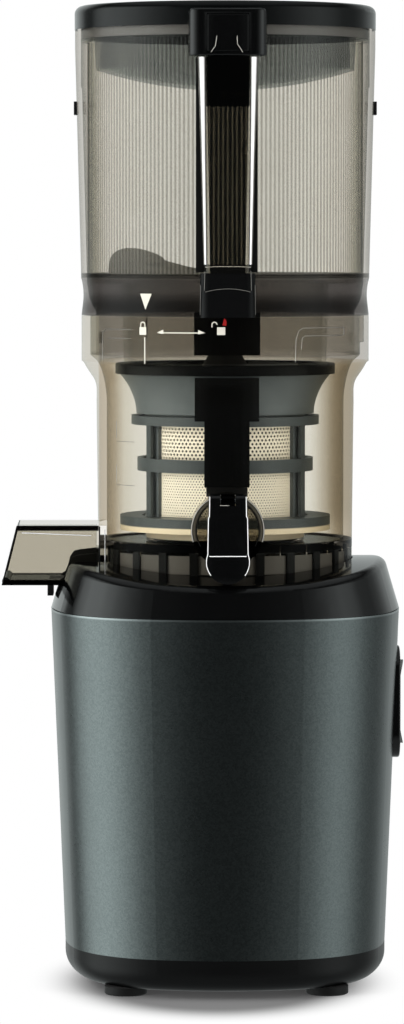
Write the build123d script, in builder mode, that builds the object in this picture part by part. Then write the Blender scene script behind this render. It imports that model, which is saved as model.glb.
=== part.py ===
"""Hands-free cold press juicer: motor base, juicing bowl and closed hopper.

Millimetres. +Z is up, the origin is on the table under the drive axis, the juice
spout points to -Y and the pulp chute to -X. Every piece is modelled in its place.
"""
from build123d import *
from math import asin, atan2, cos, degrees, pi, radians, sin, sqrt, tan
import os

os.makedirs("parts", exist_ok=True)

# ---------------------------------------------------------------- fits
shaft_gap = 0.05        # radial running gap between a shaft and its bore
drive_gap = 0.10        # hexagon in its socket, per side
body_gap = 0.4          # between pieces that turn past each other
seat_gap = 0.3          # between a closed lid or cap and what it rests on
slide_gap = 0.35        # guide clearance per side of a sliding piece
tooth_gap = 0.14        # backlash taken off each tooth

# ---------------------------------------------------------------- motor base
pan_bottom_z = 4.3
shell_bottom_z = 21.5
shell_top_z = 196.4
shell_bottom_half = 84.0        # half width of the rounded square at the foot
shell_top_half = 91.2           # half width under the cover
shell_wall = 3.0
side_bulge = 1.618              # radius of each bowed side, over the half width
corner_round = 0.7324           # radius of each corner, over the half width
pan_wall = 3.0
pan_round = 12.0
cover_seam = 0.6                # shadow gap line between shell and cover
cover_fold_z = 214.0
cover_fold_half = 86.0
deck_z = 222.7                  # highest line of the crowned deck
deck_crown_r = 377.0
deck_round = 5.0
cover_wall = 3.0

foot_r = 11.0
foot_spacing = 104.0
foot_socket_r = 3.0
foot_socket_depth = 3.5
foot_plug_r = 4.5
screw_post_x = 54.0             # screw posts stand at this X
screw_post_y = 30.0
screw_post_r = 5.0
pan_post_top_z = 30.0
pan_screw_r = 1.6
pan_screw_head_r = 3.2
pan_screw_head = 2.4
pan_screw_end_z = 44.0
screw_cross = 3.6               # cross recess of a screw's head
screw_cross_width = 0.9
screw_cross_depth = 1.2
vent_slot = 3.0
vent_pitch = 7.0
vent_count = 7
vent_length = 44.0

cord_z = 34.0
cord_bore_r = 3.6
grommet_r = 7.0
grommet_flange_r = 9.5
grommet_flange = 2.0
grommet_length = 16.0

# ---------------------------------------------------------------- rocker switch
rocker_z = 146.5
bezel_height = 59.0
bezel_width = 30.0
bezel_face_x = 91.6
bezel_back_x = 79.0
rocker_height = 44.0
rocker_width = 19.0
rocker_tip_x = 93.6
rocker_dip = 3.0                # depth of the finger saddle
rocker_back_x = 83.5
rocker_pivot_x = 86.0
rocker_pin_r = 1.25
rocker_gap = 1.2                # round the rocker, so that its ends can tip
switch_depth = 18.0

# ---------------------------------------------------------------- motor and gears
motor_can_r = 46.0
motor_can_wall = 2.0
motor_bottom_z = 64.0
gearbox_bottom_z = 160.0
gearbox_floor = 4.0
gearbox_top_z = 200.0
gearbox_wall = 3.0
gearbox_cover_plate = 5.0       # reaches up to the floor of the bowl's well
gearbox_boss_r = 3.6
box_screw_r = 1.5
box_screw_head_r = 2.8
box_screw_head = 2.0
box_screw_length = 14.0
stator_r = 43.0
stator_bore_r = 24.0
stator_bottom_z = 90.0
stator_top_z = 130.0
winding_height = 11.0
winding_r = 5.5
air_gap = 0.6
motor_shaft_r = 4.0
motor_shaft_bottom_z = 47.0
motor_bearing_r = 11.0
motor_bearing = 7.0
fan_r = 38.0
fan_height = 9.0
fan_blades = 9
fan_bottom_z = 49.0

gear_module = 1.1
wheel_teeth = 54
pinion_teeth = 12
pressure_angle = 25.0
low_wheel_z = 167.0             # wheel driven by the motor pinion
high_wheel_z = 182.0            # wheel on the output shaft
wheel_width = 9.0
pinion_over = 1.5               # a pinion stands this far past its wheel's faces
counter_shaft_r = 4.0
output_shaft_r = 7.0
output_bearing_r = 13.0
hex_flats = 12.0
hex_bottom_z = 212.0
hex_top_z = 262.0
web_hole_r = 5.0
web_hole_at = 18.0
web_holes = 6

# ---------------------------------------------------------------- electronics
board_x = 66.0
board_z = 82.0                  # middle of the board
board_width = 56.0
board_height = 62.0
board_thick = 1.6
board_parts = ((-14.0, 14.0, 16.0, 18.0), (12.0, -8.0, 20.0, 12.0))    # y, z, width, height
board_part_depth = 9.0
board_can_y = -16.0
board_can_z = -16.0
board_can_r = 6.0
board_can_depth = 14.0
standoff_r = 2.2
standoff_inset = 4.0
capacitor_r = 12.0
capacitor_height = 44.0
capacitor_z = 110.0
capacitor_strap = 6.0
capacitor_strap_height = 8.0

# ---------------------------------------------------------------- bowl (drum)
well_floor_z = 208.0
well_gap = 0.5
drum_wall = 4.5
drum_base_r = 66.5
drum_draft = 0.8                # the wall leans out by this up to the flare
drum_top_r = drum_base_r + drum_draft
drum_flare_r = drum_top_r + 1.0
drum_straight_z = 304.0
drum_flare_z = 315.7
collar_step = 8.6               # the collar stands out from the base by this
collar_r = drum_base_r + collar_step
collar_bottom_z = 325.7
collar_top_z = 349.3
collar_wall = 4.5
drum_floor_z = 232.0            # top of the bowl's floor
drum_floor = 4.0
skirt_ribs = 24
skirt_rib_depth = 4.0
skirt_rib_width = 4.6
hub_bore_r = 7.4
hub_r = 9.4
hub_top_z = 247.0
seal_height = 2.5

spout_z = 241.7
spout_r = 18.7
spout_wall = 3.0
spout_reach = 20.0              # of the spout in front of the wall
spout_front_y = -(drum_base_r + spout_reach)
mouth_z = 226.1
mouth_r = 6.6
mouth_boss_r = 9.6
mouth_boss_depth = 6.5
juice_hole_r = 11.0

chute_half_width = 26.0
chute_top_z = 240.6
chute_bottom_z = 209.6
chute_over = 17.3               # the chute reaches past the cover by this
chute_slant = 8.0
chute_end_x = -(shell_top_half + chute_over)    # upper edge of the open end
chute_lip_x = chute_end_x - chute_slant         # lower edge of the open end
chute_wall = 2.4
duct_half_width = 12.0
duct_wall = 2.2
duct_inner_x = -18.0
chimney_outer_x = -32.0
chimney_half_width = 10.5
plug_length = 18.0
plug_half_width = 12.0
plug_tab_bottom_z = 203.0
plug_tab = 3.0
plug_tab_gap = 0.75             # between the tab and the cover's side
plug_tab_over = 1.0             # the tab stands this far outside the plug

# ---------------------------------------------------------------- strainer and wiper
mesh_r = 40.0
mesh_wall = 0.6
strainer_rib = 2.0
strainer_ribs = 6
window_half_angle = 26.5        # half of each window, seen from the axis
strainer_floor_z = 241.0
strainer_floor = 2.5
window_bottom_z = 245.0
window_top_z = 298.0
funnel_r = 46.5
funnel_top_r = 55.4
funnel_top_z = 319.0
funnel_wall = 2.4
gasket_height = 5.5
gasket_r = 57.5

cage_top_z = 297.3
cage_top_ring = 4.7
cage_top_r = 49.1
cage_mid_z = 275.2
cage_mid_ring = 6.8
cage_mid_r = 46.0
cage_low_z = 245.0
cage_low_ring = 7.6
cage_low_r = 55.0
cage_inner_r = 43.4
cage_post_angle = 62.0          # from the front, both sides, front and rear
cage_post_width = 4.6
cage_post_depth = 1.7
ring_gear_z = 233.4             # underside of the toothed ring
ring_gear_height = 5.2
ring_gear_r = 41.5
blade_thick = 1.2
safety_bar_width = 23.2
safety_bar_depth = 5.0
safety_head_width = 33.0        # its wide head, up under the collar
safety_head_depth = 4.2
safety_head_z = 296.0
safety_bar_gap = 0.6            # under the gasket
pad_width = 33.8                # magnet pad inside the hopper's plug, over the safety bar
pad_thick = 3.0
pad_top_z = 352.0

bowl_module = 1.2
screw_teeth = 24
idler_teeth = 18
ring_teeth = 60
idler_angle = 40.0              # place of the idler round the drive axis
idler_pin_r = 3.0

# ---------------------------------------------------------------- screw and wing
screw_stem_r = 12.4             # between the screw's gear and its base
screw_base_r = 21.0
screw_base_z = strainer_floor_z + strainer_floor + 0.7
screw_belly_r = 28.0
screw_belly_z = 266.0
screw_waist_r = 15.0
screw_bore_r = 9.9
flight_r = 38.2
flight_bottom_z = 249.0
flight_top_z = 322.0
flight_turns = 2.0
flight_thick = 4.5
neck_r = 8.0
wing_bottom_z = 369.8
wing_top_z = 384.5
wing_hub_r = 15.0
wing_reach = 61.0
wing_hub_height = 6.0
wing_hub_taper = 20
wing_blade_half = 5.0
wing_blade_root = 8.0           # the blade starts inside the hub
wing_peak_x = 50.0
wing_slope_x = 32.0             # halfway down the blade's long back
wing_slope_z = 377.7

# ---------------------------------------------------------------- hopper
hopper_step = 0.2               # the hopper stands out from the collar by this
hopper_taper = 3.0
hopper_low_r = collar_r + hopper_step
hopper_top_r = hopper_low_r + hopper_taper
hopper_low_z = 368.8
hopper_top_z = 488.0
hopper_rim_z = 499.6
hopper_wall = 3.0
neck_pinch = 1.2
neck_waist_r = hopper_low_r - neck_pinch
neck_waist_z = 359.0
hopper_foot_z = collar_top_z + seat_gap
plug_wall = 2.6
plug_bottom_z = 329.0
throat_r = 54.0
throat_wall = 2.5
lug_angle = 9.0                 # width of each bayonet lug
lug_height = 5.0
lug_reach = 2.0
slot_margin = 0.5               # degrees of slack at each end of a slot
lug_count = 3
twist = 30.0                    # from locked to open
liner_gap = 0.9
liner_r = hopper_low_r - hopper_wall - liner_gap
liner_wall = 1.5
liner_top_z = 491.5
liner_flange = 1.2
floor_feed_r = 46.0             # hole that the food drops through
floor_plate = 2.5
tab_z = 457.2
tab_height = 6.9
tab_width = 12.0
tab_depth = 1.4

column_half_top = 13.2
column_half_bottom = 11.5
column_stand = 12.2             # the column stands out from the hopper's rim by this
column_front_y = -(hopper_top_r + column_stand)
column_root_y = -(hopper_low_r - 5.3)           # sunk into the hopper's wall
column_bottom_z = 372.0
column_top_z = 481.2
column_wall = 2.0
bar_half_low = 9.0              # the bar widens upwards as the column does
bar_half_top = 10.5
bar_thick = 4.0
bar_front_y = column_front_y + column_wall + 1.9
bar_back_y = bar_front_y + bar_thick
bar_bottom_z = 375.0
bar_top_z = 461.5
bar_travel = 2.5
shoe_half = 14.0
shoe_front_y = column_front_y + 1.0
shoe_back_y = -(neck_waist_r - 10.1)            # sunk into the neck

# ---------------------------------------------------------------- lid
lid_over = 0.2
lid_r = hopper_top_r + lid_over
lid_bottom_z = hopper_rim_z + seat_gap
lid_top_z = 510.0
lid_round = 4.0
lid_wall = 2.5
dome_gap = 1.4
dome_draft = 1.2
dome_top_r = liner_r - liner_wall - dome_gap
dome_skirt_r = dome_top_r - dome_draft
dome_skirt_z = 477.0
dome_low_z = 466.5
dome_wall = 2.0
lid_gasket_h = 3.0
hinge_stand = 4.7
hinge_y = hopper_top_r + hinge_stand
hinge_z = 497.0
hinge_r = 4.0
hinge_pin_r = 2.0
hinge_knuckle_half = 13.0
hinge_ear = 5.5
latch_half = 19.8
latch_bottom_z = 481.5
latch_top_z = 505.3
latch_gap = 1.1
latch_depth = 11.6
latch_back_y = -(hopper_top_r + latch_gap)
latch_front_y = latch_back_y - latch_depth
latch_round = 2.4
button_half = 10.4
button_height = 19.0
button_z = 493.0
button_depth = 5.0
button_travel = 2.5
button_clear = 0.5
latch_spring_r = 3.0
latch_spring_wall = 0.8
tongue_half = 10.4
tongue_bottom_z = 464.6
tongue_set_back = 5.8
tongue_thick = 3.2
tongue_front_y = latch_front_y + tongue_set_back
tongue_back_y = tongue_front_y + tongue_thick

# ---------------------------------------------------------------- spout cap
cap_half_top = 9.6
cap_half_low = 10.4
cap_round_r = 11.2
cap_thick = 7.0
cap_pin_r = 1.5
cap_pin_z = 257.0
cap_pin_stand = 3.9
cap_pin_y = spout_front_y - cap_pin_stand
cap_lug_half = 3.5
cap_lug_r = 3.4
cap_slot_gap = 0.6
cap_gasket_over = 1.4
cap_gasket_height = 1.2


# ---------------------------------------------------------------- helpers
def save(piece, name):
    """Label a finished sub-part and write it."""
    piece.part.label = name
    export_step(piece.part, f"parts/{name}.step")


def soft_square(half):
    """Square with bowed sides and wide corners, reaching half to each side."""
    bulge = side_bulge * half
    with BuildSketch() as outline:
        with Locations((half - bulge, 0)):
            Circle(bulge)
        for centre in ((bulge - half, 0), (0, half - bulge), (0, bulge - half)):
            with Locations(centre):
                Circle(bulge, mode=Mode.INTERSECT)
        fillet(outline.vertices(), corner_round * half)
    return outline.sketch


def shell_half(z):
    """Half width of the tapering body at a height."""
    rise = (z - shell_bottom_z) / (shell_top_z - shell_bottom_z)
    return shell_bottom_half + rise * (shell_top_half - shell_bottom_half)


def cover_half(z):
    """Half width of the cover's slanted side at a height."""
    slope = (cover_fold_half - shell_top_half) / (cover_fold_z - shell_top_z)
    return shell_top_half + slope * (z - shell_top_z)


def involute(angle):
    """Involute function of a pressure angle in radians."""
    return tan(angle) - angle


def gear_outline(teeth, module, tip_r, root_r, slack, turn=0.0):
    """Involute gear face; slack is taken off each tooth, turn puts a tooth there."""
    pitch_r = teeth * module / 2
    base_r = pitch_r * cos(radians(pressure_angle))
    half_pitch = pi / (2 * teeth) - slack / (2 * pitch_r)
    flank_start = max(base_r, root_r)
    radii = [flank_start + (tip_r - flank_start) * step / 3 for step in range(4)]
    flank = []
    for radius in radii:
        here = involute(radians(pressure_angle)) - involute(_pressure_at(base_r, radius))
        flank.append((radius, half_pitch + here))
    root_half = flank[0][1]
    points = []
    for tooth in range(teeth):
        middle = radians(turn) + 2 * pi * tooth / teeth
        points.append((root_r, middle - root_half))
        points += [(radius, middle - half) for radius, half in flank if radius > root_r]
        points += [(radius, middle + half) for radius, half in reversed(flank) if radius > root_r]
        points.append((root_r, middle + root_half))
    corners = [(radius * cos(angle), radius * sin(angle)) for radius, angle in points]
    with BuildSketch() as face:
        with BuildLine():
            Polyline(*corners, close=True)
        make_face()
    return face.sketch


def _pressure_at(base_r, radius):
    """Pressure angle of an involute at a radius."""
    cosine = min(1.0, base_r / radius)
    return atan2(sqrt(1 - cosine * cosine), cosine)


def outer_gear(teeth, module, turn=0.0):
    """Face of a gear with outside teeth."""
    pitch_r = teeth * module / 2
    return gear_outline(teeth, module, pitch_r + 0.95 * module, pitch_r - 1.25 * module, tooth_gap, turn)


def ring_space(teeth, module, turn=0.0):
    """Face that is cut from a ring to leave inside teeth."""
    pitch_r = teeth * module / 2
    return gear_outline(teeth, module, pitch_r + 1.25 * module, pitch_r - 0.9 * module, -tooth_gap, turn)


def ring_sector(inner_r, outer_r, low_angle, high_angle):
    """Flat piece of a ring between two radii and two angles."""
    with BuildSketch() as sector:
        with BuildLine():
            CenterArc((0, 0), outer_r, low_angle, high_angle - low_angle)
            CenterArc((0, 0), inner_r, low_angle, high_angle - low_angle)
            for side in (low_angle, high_angle):
                Line((inner_r * cos(radians(side)), inner_r * sin(radians(side))),
                     (outer_r * cos(radians(side)), outer_r * sin(radians(side))))
        make_face()
    return sector.sketch


def meshed_turn(turn, teeth, other_teeth, direction):
    """Turn of a gear so that its gap faces the tooth of the gear it meshes with."""
    phase = (direction - turn) / (360 / teeth)
    return direction + 180 - (0.5 - phase) * (360 / other_teeth)


def inside_turn(turn, teeth, ring_count, direction):
    """Turn of a ring's spaces round a gear that lies in a direction inside it."""
    phase = (direction - turn) / (360 / teeth)
    return direction - phase * (360 / ring_count)


# ---------------------------------------------------------------- derived sizes
counter_y = (wheel_teeth + pinion_teeth) * gear_module / 2
compound_pinion_turn = meshed_turn(0, wheel_teeth, pinion_teeth, 90)
motor_pinion_turn = meshed_turn(0, wheel_teeth, pinion_teeth, -90)
low_wheel_top_z = low_wheel_z + wheel_width
high_wheel_top_z = high_wheel_z + wheel_width
idler_offset = (screw_teeth + idler_teeth) * bowl_module / 2
idler_turn = meshed_turn(0, screw_teeth, idler_teeth, idler_angle)
ring_turn = inside_turn(idler_turn, idler_teeth, ring_teeth, idler_angle)
idler_x = idler_offset * cos(radians(idler_angle))
idler_y = idler_offset * sin(radians(idler_angle))
drum_inner_r = drum_base_r - drum_wall
collar_inner_r = collar_r - collar_wall
plug_r = collar_inner_r - body_gap
well_r = drum_base_r + well_gap
plug_outer_x = -(cover_half(plug_tab_bottom_z) + plug_tab_gap + plug_tab - plug_tab_over)
plug_inner_x = plug_outer_x + plug_length
liner_bottom_z = hopper_low_z
lip_r = mesh_r - mesh_wall              # inside of the strainer's upper lip
screw_gear_top_z = ring_gear_z + ring_gear_height
chimney_top_z = strainer_floor_z        # the strainer stands on the chimney
blade_inner_r = mesh_r + strainer_rib + body_gap
post_inner_r = cage_inner_r + 0.4       # posts stand inside the width of the rings
wheel_tip_r = wheel_teeth * gear_module / 2 + 0.95 * gear_module
gearbox_r = wheel_tip_r + 2.0
foot_at = foot_spacing / 2
lug_top_z = 341.0
lug_bottom_z = lug_top_z - lug_height
feed_z = hopper_low_z - floor_plate
screw_post_hole_r = pan_screw_r
pan_screw_head_z = pan_bottom_z + pan_screw_head
cap_back_y = spout_front_y - seat_gap
cap_front_y = cap_back_y - cap_thick
cap_knuckle_r = cap_back_y - cap_pin_y      # round top, so that it turns clear of the spout


# ================================================================ motor base
# ---- rubber feet: plugs through the pan, each with a blind socket underneath
with BuildPart() as rubber_feet:
    with BuildSketch():
        with GridLocations(foot_spacing, foot_spacing, 2, 2):
            Circle(foot_r)
    extrude(amount=pan_bottom_z)
    fillet(rubber_feet.edges().group_by(Axis.Z)[0], 1.0)
    with BuildSketch(Plane.XY.offset(pan_bottom_z)):
        with GridLocations(foot_spacing, foot_spacing, 2, 2):
            Circle(foot_plug_r)
    extrude(amount=pan_wall)
    with BuildSketch():
        with GridLocations(foot_spacing, foot_spacing, 2, 2):
            Circle(foot_socket_r)
    extrude(amount=foot_socket_depth, mode=Mode.SUBTRACT)
save(rubber_feet, "rubber_feet")

# ---- base pan: rounded tray with air slots, foot holes and four screw posts
pan_inner_half = shell_bottom_half - pan_wall
with BuildPart() as base_pan:
    with BuildSketch(Plane.XY.offset(pan_bottom_z)):
        add(soft_square(shell_bottom_half))
    extrude(amount=shell_bottom_z - pan_bottom_z)
    fillet(base_pan.edges().group_by(Axis.Z)[0], pan_round)
    with BuildSketch(Plane.XY.offset(pan_bottom_z + pan_wall)):
        add(soft_square(pan_inner_half - pan_round / 2))
    extrude(amount=shell_bottom_z - pan_bottom_z, mode=Mode.SUBTRACT)
    with BuildSketch(Plane.XY.offset(pan_bottom_z + pan_round)):
        add(soft_square(pan_inner_half))
    extrude(amount=shell_bottom_z - pan_bottom_z, mode=Mode.SUBTRACT)
    with BuildSketch(Plane.XY.offset(pan_bottom_z + pan_wall)):
        with GridLocations(2 * screw_post_x, 2 * screw_post_y, 2, 2):
            Circle(screw_post_r)
    extrude(amount=pan_post_top_z - pan_bottom_z - pan_wall)
    with Locations(Plane.XY.offset(pan_bottom_z)):
        with GridLocations(2 * screw_post_x, 2 * screw_post_y, 2, 2):
            Cylinder(pan_screw_head_r + 0.3, pan_screw_head, align=(Align.CENTER, Align.CENTER, Align.MIN),
                     mode=Mode.SUBTRACT)
            Cylinder(pan_screw_r + 0.2, pan_post_top_z, align=(Align.CENTER, Align.CENTER, Align.MIN),
                     mode=Mode.SUBTRACT)
        with GridLocations(foot_spacing, foot_spacing, 2, 2):
            Cylinder(foot_plug_r, pan_wall, align=(Align.CENTER, Align.CENTER, Align.MIN), mode=Mode.SUBTRACT)
        with GridLocations(0, vent_pitch, 1, vent_count):
            Box(vent_length, vent_slot, pan_wall, align=(Align.CENTER, Align.CENTER, Align.MIN),
                mode=Mode.SUBTRACT)
save(base_pan, "base_pan")

# ---- pan screws: heads sunk in the pan, threads in the cover's long bosses
with BuildPart() as pan_screws:
    with BuildSketch(Plane.XY.offset(pan_bottom_z)):
        with GridLocations(2 * screw_post_x, 2 * screw_post_y, 2, 2):
            Circle(pan_screw_head_r)
    extrude(amount=pan_screw_head)
    with BuildSketch(Plane.XY.offset(pan_screw_head_z)):
        with GridLocations(2 * screw_post_x, 2 * screw_post_y, 2, 2):
            Circle(pan_screw_r)
    extrude(amount=pan_screw_end_z - pan_screw_head_z)
    with BuildSketch(Plane.XY.offset(pan_bottom_z)):
        with GridLocations(2 * screw_post_x, 2 * screw_post_y, 2, 2):
            Rectangle(screw_cross, screw_cross_width)
            Rectangle(screw_cross_width, screw_cross)
    extrude(amount=screw_cross_depth, mode=Mode.SUBTRACT)
save(pan_screws, "pan_screws")

# ---- body shell: tapering tube, with the switch opening and the cord hole
with BuildPart() as shell_core:
    for level in (shell_bottom_z, shell_top_z):
        with BuildSketch(Plane.XY.offset(level)):
            add(soft_square(shell_half(level) - shell_wall))
    loft()
with BuildPart() as body_shell:
    for level in (shell_bottom_z, shell_top_z):
        with BuildSketch(Plane.XY.offset(level)):
            add(soft_square(shell_half(level)))
    loft()
    add(shell_core.part, mode=Mode.SUBTRACT)
    with BuildSketch(Plane.YZ):
        with Locations((0, rocker_z)):
            SlotOverall(bezel_height, bezel_width, rotation=90)
    extrude(amount=shell_top_half + 10, mode=Mode.SUBTRACT)
    with Locations((0, shell_half(cord_z), cord_z)):
        Cylinder(grommet_r, 4 * shell_wall, rotation=(90, 0, 0), mode=Mode.SUBTRACT)
save(body_shell, "body_shell")

# ---- cord grommet: flanged sleeve in the rear wall, its bore open for a lead
grommet_face_y = shell_half(cord_z) + grommet_flange
with BuildPart() as cord_grommet:
    with BuildSketch(Plane.XZ.offset(-grommet_face_y)):
        with Locations((0, cord_z)):
            Circle(grommet_flange_r)
    extrude(amount=grommet_flange)
    with BuildSketch(Plane.XZ.offset(-grommet_face_y)):
        with Locations((0, cord_z)):
            Circle(grommet_r)
    extrude(amount=grommet_length)
    with BuildSketch(Plane.XZ.offset(-grommet_face_y)):
        with Locations((0, cord_z)):
            Circle(cord_bore_r)
    extrude(amount=grommet_length, mode=Mode.SUBTRACT)
    add(body_shell.part, mode=Mode.SUBTRACT)
save(cord_grommet, "cord_grommet")

# ---- top cover: slanted sides, crowned deck, round well and a chute notch
cover_bottom_z = shell_top_z + cover_seam
with BuildPart() as cover_cavity:
    for level in (cover_bottom_z, deck_z):
        with BuildSketch(Plane.XY.offset(level)):
            add(soft_square(cover_half(level) - cover_wall))
    loft()
    with Locations((0, 0, deck_z - cover_wall - deck_crown_r)):
        Cylinder(deck_crown_r, 4 * shell_top_half, rotation=(0, 90, 0), mode=Mode.INTERSECT)
    with Locations((0, 0, well_floor_z - cover_wall)):
        Cylinder(well_r + cover_wall, deck_z, align=(Align.CENTER, Align.CENTER, Align.MIN),
                 mode=Mode.SUBTRACT)
    with Locations((-shell_top_half, 0, chute_bottom_z - body_gap - cover_wall)):
        Box(2 * (shell_top_half - drum_base_r) + 10, 2 * (chute_half_width + 1 + cover_wall), deck_z,
            align=(Align.CENTER, Align.CENTER, Align.MIN), mode=Mode.SUBTRACT)
with BuildPart() as top_cover:
    for level in (cover_bottom_z, deck_z + 4):
        with BuildSketch(Plane.XY.offset(level)):
            add(soft_square(cover_half(level)))
    loft()
    with Locations((0, 0, deck_z - deck_crown_r)):
        Cylinder(deck_crown_r, 4 * shell_top_half, rotation=(0, 90, 0), mode=Mode.INTERSECT)
    fillet(top_cover.faces().sort_by(Axis.Z)[-1].edges(), deck_round)
    add(cover_cavity.part, mode=Mode.SUBTRACT)
    with BuildSketch(Plane.XY.offset(shell_top_z)):
        add(soft_square(shell_top_half - 1.2))
        add(soft_square(shell_top_half - cover_wall), mode=Mode.SUBTRACT)
    extrude(amount=cover_seam)
    with Locations((0, 0, well_floor_z)):
        Cylinder(well_r, deck_z, align=(Align.CENTER, Align.CENTER, Align.MIN), mode=Mode.SUBTRACT)
    with Locations((-shell_top_half, 0, chute_bottom_z - body_gap)):
        Box(2 * (shell_top_half - drum_base_r) + 10, 2 * (chute_half_width + 1), deck_z,
            align=(Align.CENTER, Align.CENTER, Align.MIN), mode=Mode.SUBTRACT)
    with Locations((0, 0, pan_post_top_z)):
        with GridLocations(2 * screw_post_x, 2 * screw_post_y, 2, 2):
            Cylinder(screw_post_r, well_floor_z - cover_wall - pan_post_top_z,
                     align=(Align.CENTER, Align.CENTER, Align.MIN))
            Cylinder(screw_post_hole_r, pan_screw_end_z - pan_post_top_z,
                     align=(Align.CENTER, Align.CENTER, Align.MIN), mode=Mode.SUBTRACT)
    with Locations((0, 0, well_floor_z)):
        Cylinder(output_shaft_r + 1.5, 4 * cover_wall, mode=Mode.SUBTRACT)
save(top_cover, "top_cover")

# ================================================================ rocker switch
with BuildPart() as rocker_bezel:
    with BuildSketch(Plane.YZ.offset(bezel_back_x)):
        with Locations((0, rocker_z)):
            SlotOverall(bezel_height, bezel_width, rotation=90)
    extrude(amount=bezel_face_x - bezel_back_x)
    fillet(rocker_bezel.edges().group_by(Axis.X)[-1], 1.0)
    with BuildSketch(Plane.YZ.offset(bezel_back_x)):
        with Locations((0, rocker_z)):
            SlotOverall(rocker_height + 2 * rocker_gap, rocker_width + 2 * rocker_gap, rotation=90)
    extrude(amount=bezel_face_x, mode=Mode.SUBTRACT)
    with Locations((rocker_pivot_x, 0, rocker_z)):
        Cylinder(rocker_pin_r, rocker_width + 6, rotation=(90, 0, 0), mode=Mode.SUBTRACT)
save(rocker_bezel, "rocker_bezel")

saddle_r = ((rocker_height / 2) ** 2 + rocker_dip ** 2) / (2 * rocker_dip)
with BuildPart() as rocker_switch:
    with BuildSketch(Plane.YZ.offset(rocker_back_x)):
        with Locations((0, rocker_z)):
            SlotOverall(rocker_height, rocker_width, rotation=90)
    extrude(amount=rocker_tip_x - rocker_back_x)
    with Locations((rocker_tip_x - rocker_dip + saddle_r, 0, rocker_z)):
        Cylinder(saddle_r, 2 * rocker_width, rotation=(90, 0, 0), mode=Mode.SUBTRACT)
    with Locations((rocker_pivot_x, 0, rocker_z)):
        Cylinder(rocker_pin_r + shaft_gap, 2 * rocker_width, rotation=(90, 0, 0), mode=Mode.SUBTRACT)
save(rocker_switch, "rocker_switch")

with BuildPart() as rocker_pin:
    with Locations((rocker_pivot_x, 0, rocker_z)):
        Cylinder(rocker_pin_r, rocker_width + 6, rotation=(90, 0, 0))
save(rocker_pin, "rocker_pin")

with BuildPart() as switch_body:
    with BuildSketch(Plane.YZ.offset(bezel_back_x)):
        with Locations((0, rocker_z)):
            Rectangle(bezel_width - 5, bezel_height - 8)
    extrude(amount=-switch_depth)
    with BuildSketch(Plane.YZ.offset(bezel_back_x - switch_depth)):
        with Locations((0, rocker_z)):
            with GridLocations(0, 14, 1, 3):
                Rectangle(6.3, 0.8)
    extrude(amount=-8)
save(switch_body, "switch_body")

# ================================================================ motor
with BuildPart() as motor_can:
    with BuildSketch(Plane.XY.offset(motor_bottom_z)):
        Circle(motor_can_r)
    extrude(amount=gearbox_bottom_z - motor_bottom_z)
    with BuildSketch(Plane.XY.offset(motor_bottom_z + motor_can_wall)):
        Circle(motor_can_r - motor_can_wall)
    extrude(amount=gearbox_bottom_z - motor_bottom_z, mode=Mode.SUBTRACT)
    with BuildSketch(Plane.XY.offset(motor_bottom_z)):
        Circle(motor_bearing_r + 3)
    extrude(amount=motor_bearing + motor_can_wall)
    with BuildSketch(Plane.XY.offset(motor_bottom_z + motor_can_wall)):
        Circle(motor_bearing_r)
    extrude(amount=motor_bearing, mode=Mode.SUBTRACT)
    with BuildSketch(Plane.XY.offset(motor_bottom_z)):
        Circle(motor_shaft_r + 1)
        with PolarLocations(28, 8):
            SlotOverall(18, 7)
    extrude(amount=motor_can_wall, mode=Mode.SUBTRACT)
save(motor_can, "motor_can")

with BuildPart() as motor_stator:
    with BuildSketch(Plane.XY.offset(stator_bottom_z)):
        Circle(motor_can_r - motor_can_wall)
        Circle(stator_bore_r, mode=Mode.SUBTRACT)
        with PolarLocations((stator_bore_r + stator_r) / 2 - 2, 12):
            SlotOverall(12, 5, mode=Mode.SUBTRACT)
    extrude(amount=stator_top_z - stator_bottom_z)
save(motor_stator, "motor_stator")

with BuildPart() as motor_windings:
    for level in (stator_bottom_z - winding_r, stator_top_z + winding_r):
        with Locations((0, 0, level)):
            Torus((stator_bore_r + stator_r) / 2, winding_r)
save(motor_windings, "motor_windings")

with BuildPart() as motor_rotor:
    with BuildSketch(Plane.XY.offset(stator_bottom_z)):
        Circle(stator_bore_r - air_gap)
        Circle(motor_shaft_r, mode=Mode.SUBTRACT)
    extrude(amount=stator_top_z - stator_bottom_z)
save(motor_rotor, "motor_rotor")

with BuildPart() as motor_shaft:
    with BuildSketch(Plane.XY.offset(motor_shaft_bottom_z)):
        Circle(motor_shaft_r)
    extrude(amount=low_wheel_z - pinion_over - motor_shaft_bottom_z)
    with BuildSketch(Plane.XY.offset(low_wheel_z - pinion_over)):
        add(outer_gear(pinion_teeth, gear_module, motor_pinion_turn))
    extrude(amount=wheel_width + 2 * pinion_over)
save(motor_shaft, "motor_shaft")

upper_bearing_z = gearbox_bottom_z - motor_bearing
with BuildPart() as motor_bearings:
    for level in (motor_bottom_z + motor_can_wall, upper_bearing_z):
        with BuildSketch(Plane.XY.offset(level)):
            Circle(motor_bearing_r)
            Circle(motor_shaft_r + shaft_gap, mode=Mode.SUBTRACT)
        extrude(amount=motor_bearing)
save(motor_bearings, "motor_bearings")

with BuildPart() as cooling_fan:
    with BuildSketch(Plane.XY.offset(fan_bottom_z)):
        Circle(fan_r)
        Circle(motor_shaft_r, mode=Mode.SUBTRACT)
    extrude(amount=1.6)
    with BuildSketch(Plane.XY.offset(fan_bottom_z)):
        Circle(motor_shaft_r + 5)
        Circle(motor_shaft_r, mode=Mode.SUBTRACT)
    extrude(amount=fan_height)
    with BuildSketch(Plane.XY.offset(fan_bottom_z)):
        with PolarLocations((fan_r + motor_shaft_r) / 2 + 2, fan_blades):
            Rectangle(fan_r - motor_shaft_r - 8, 1.6, rotation=18)
    extrude(amount=fan_height)
save(cooling_fan, "cooling_fan")

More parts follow.
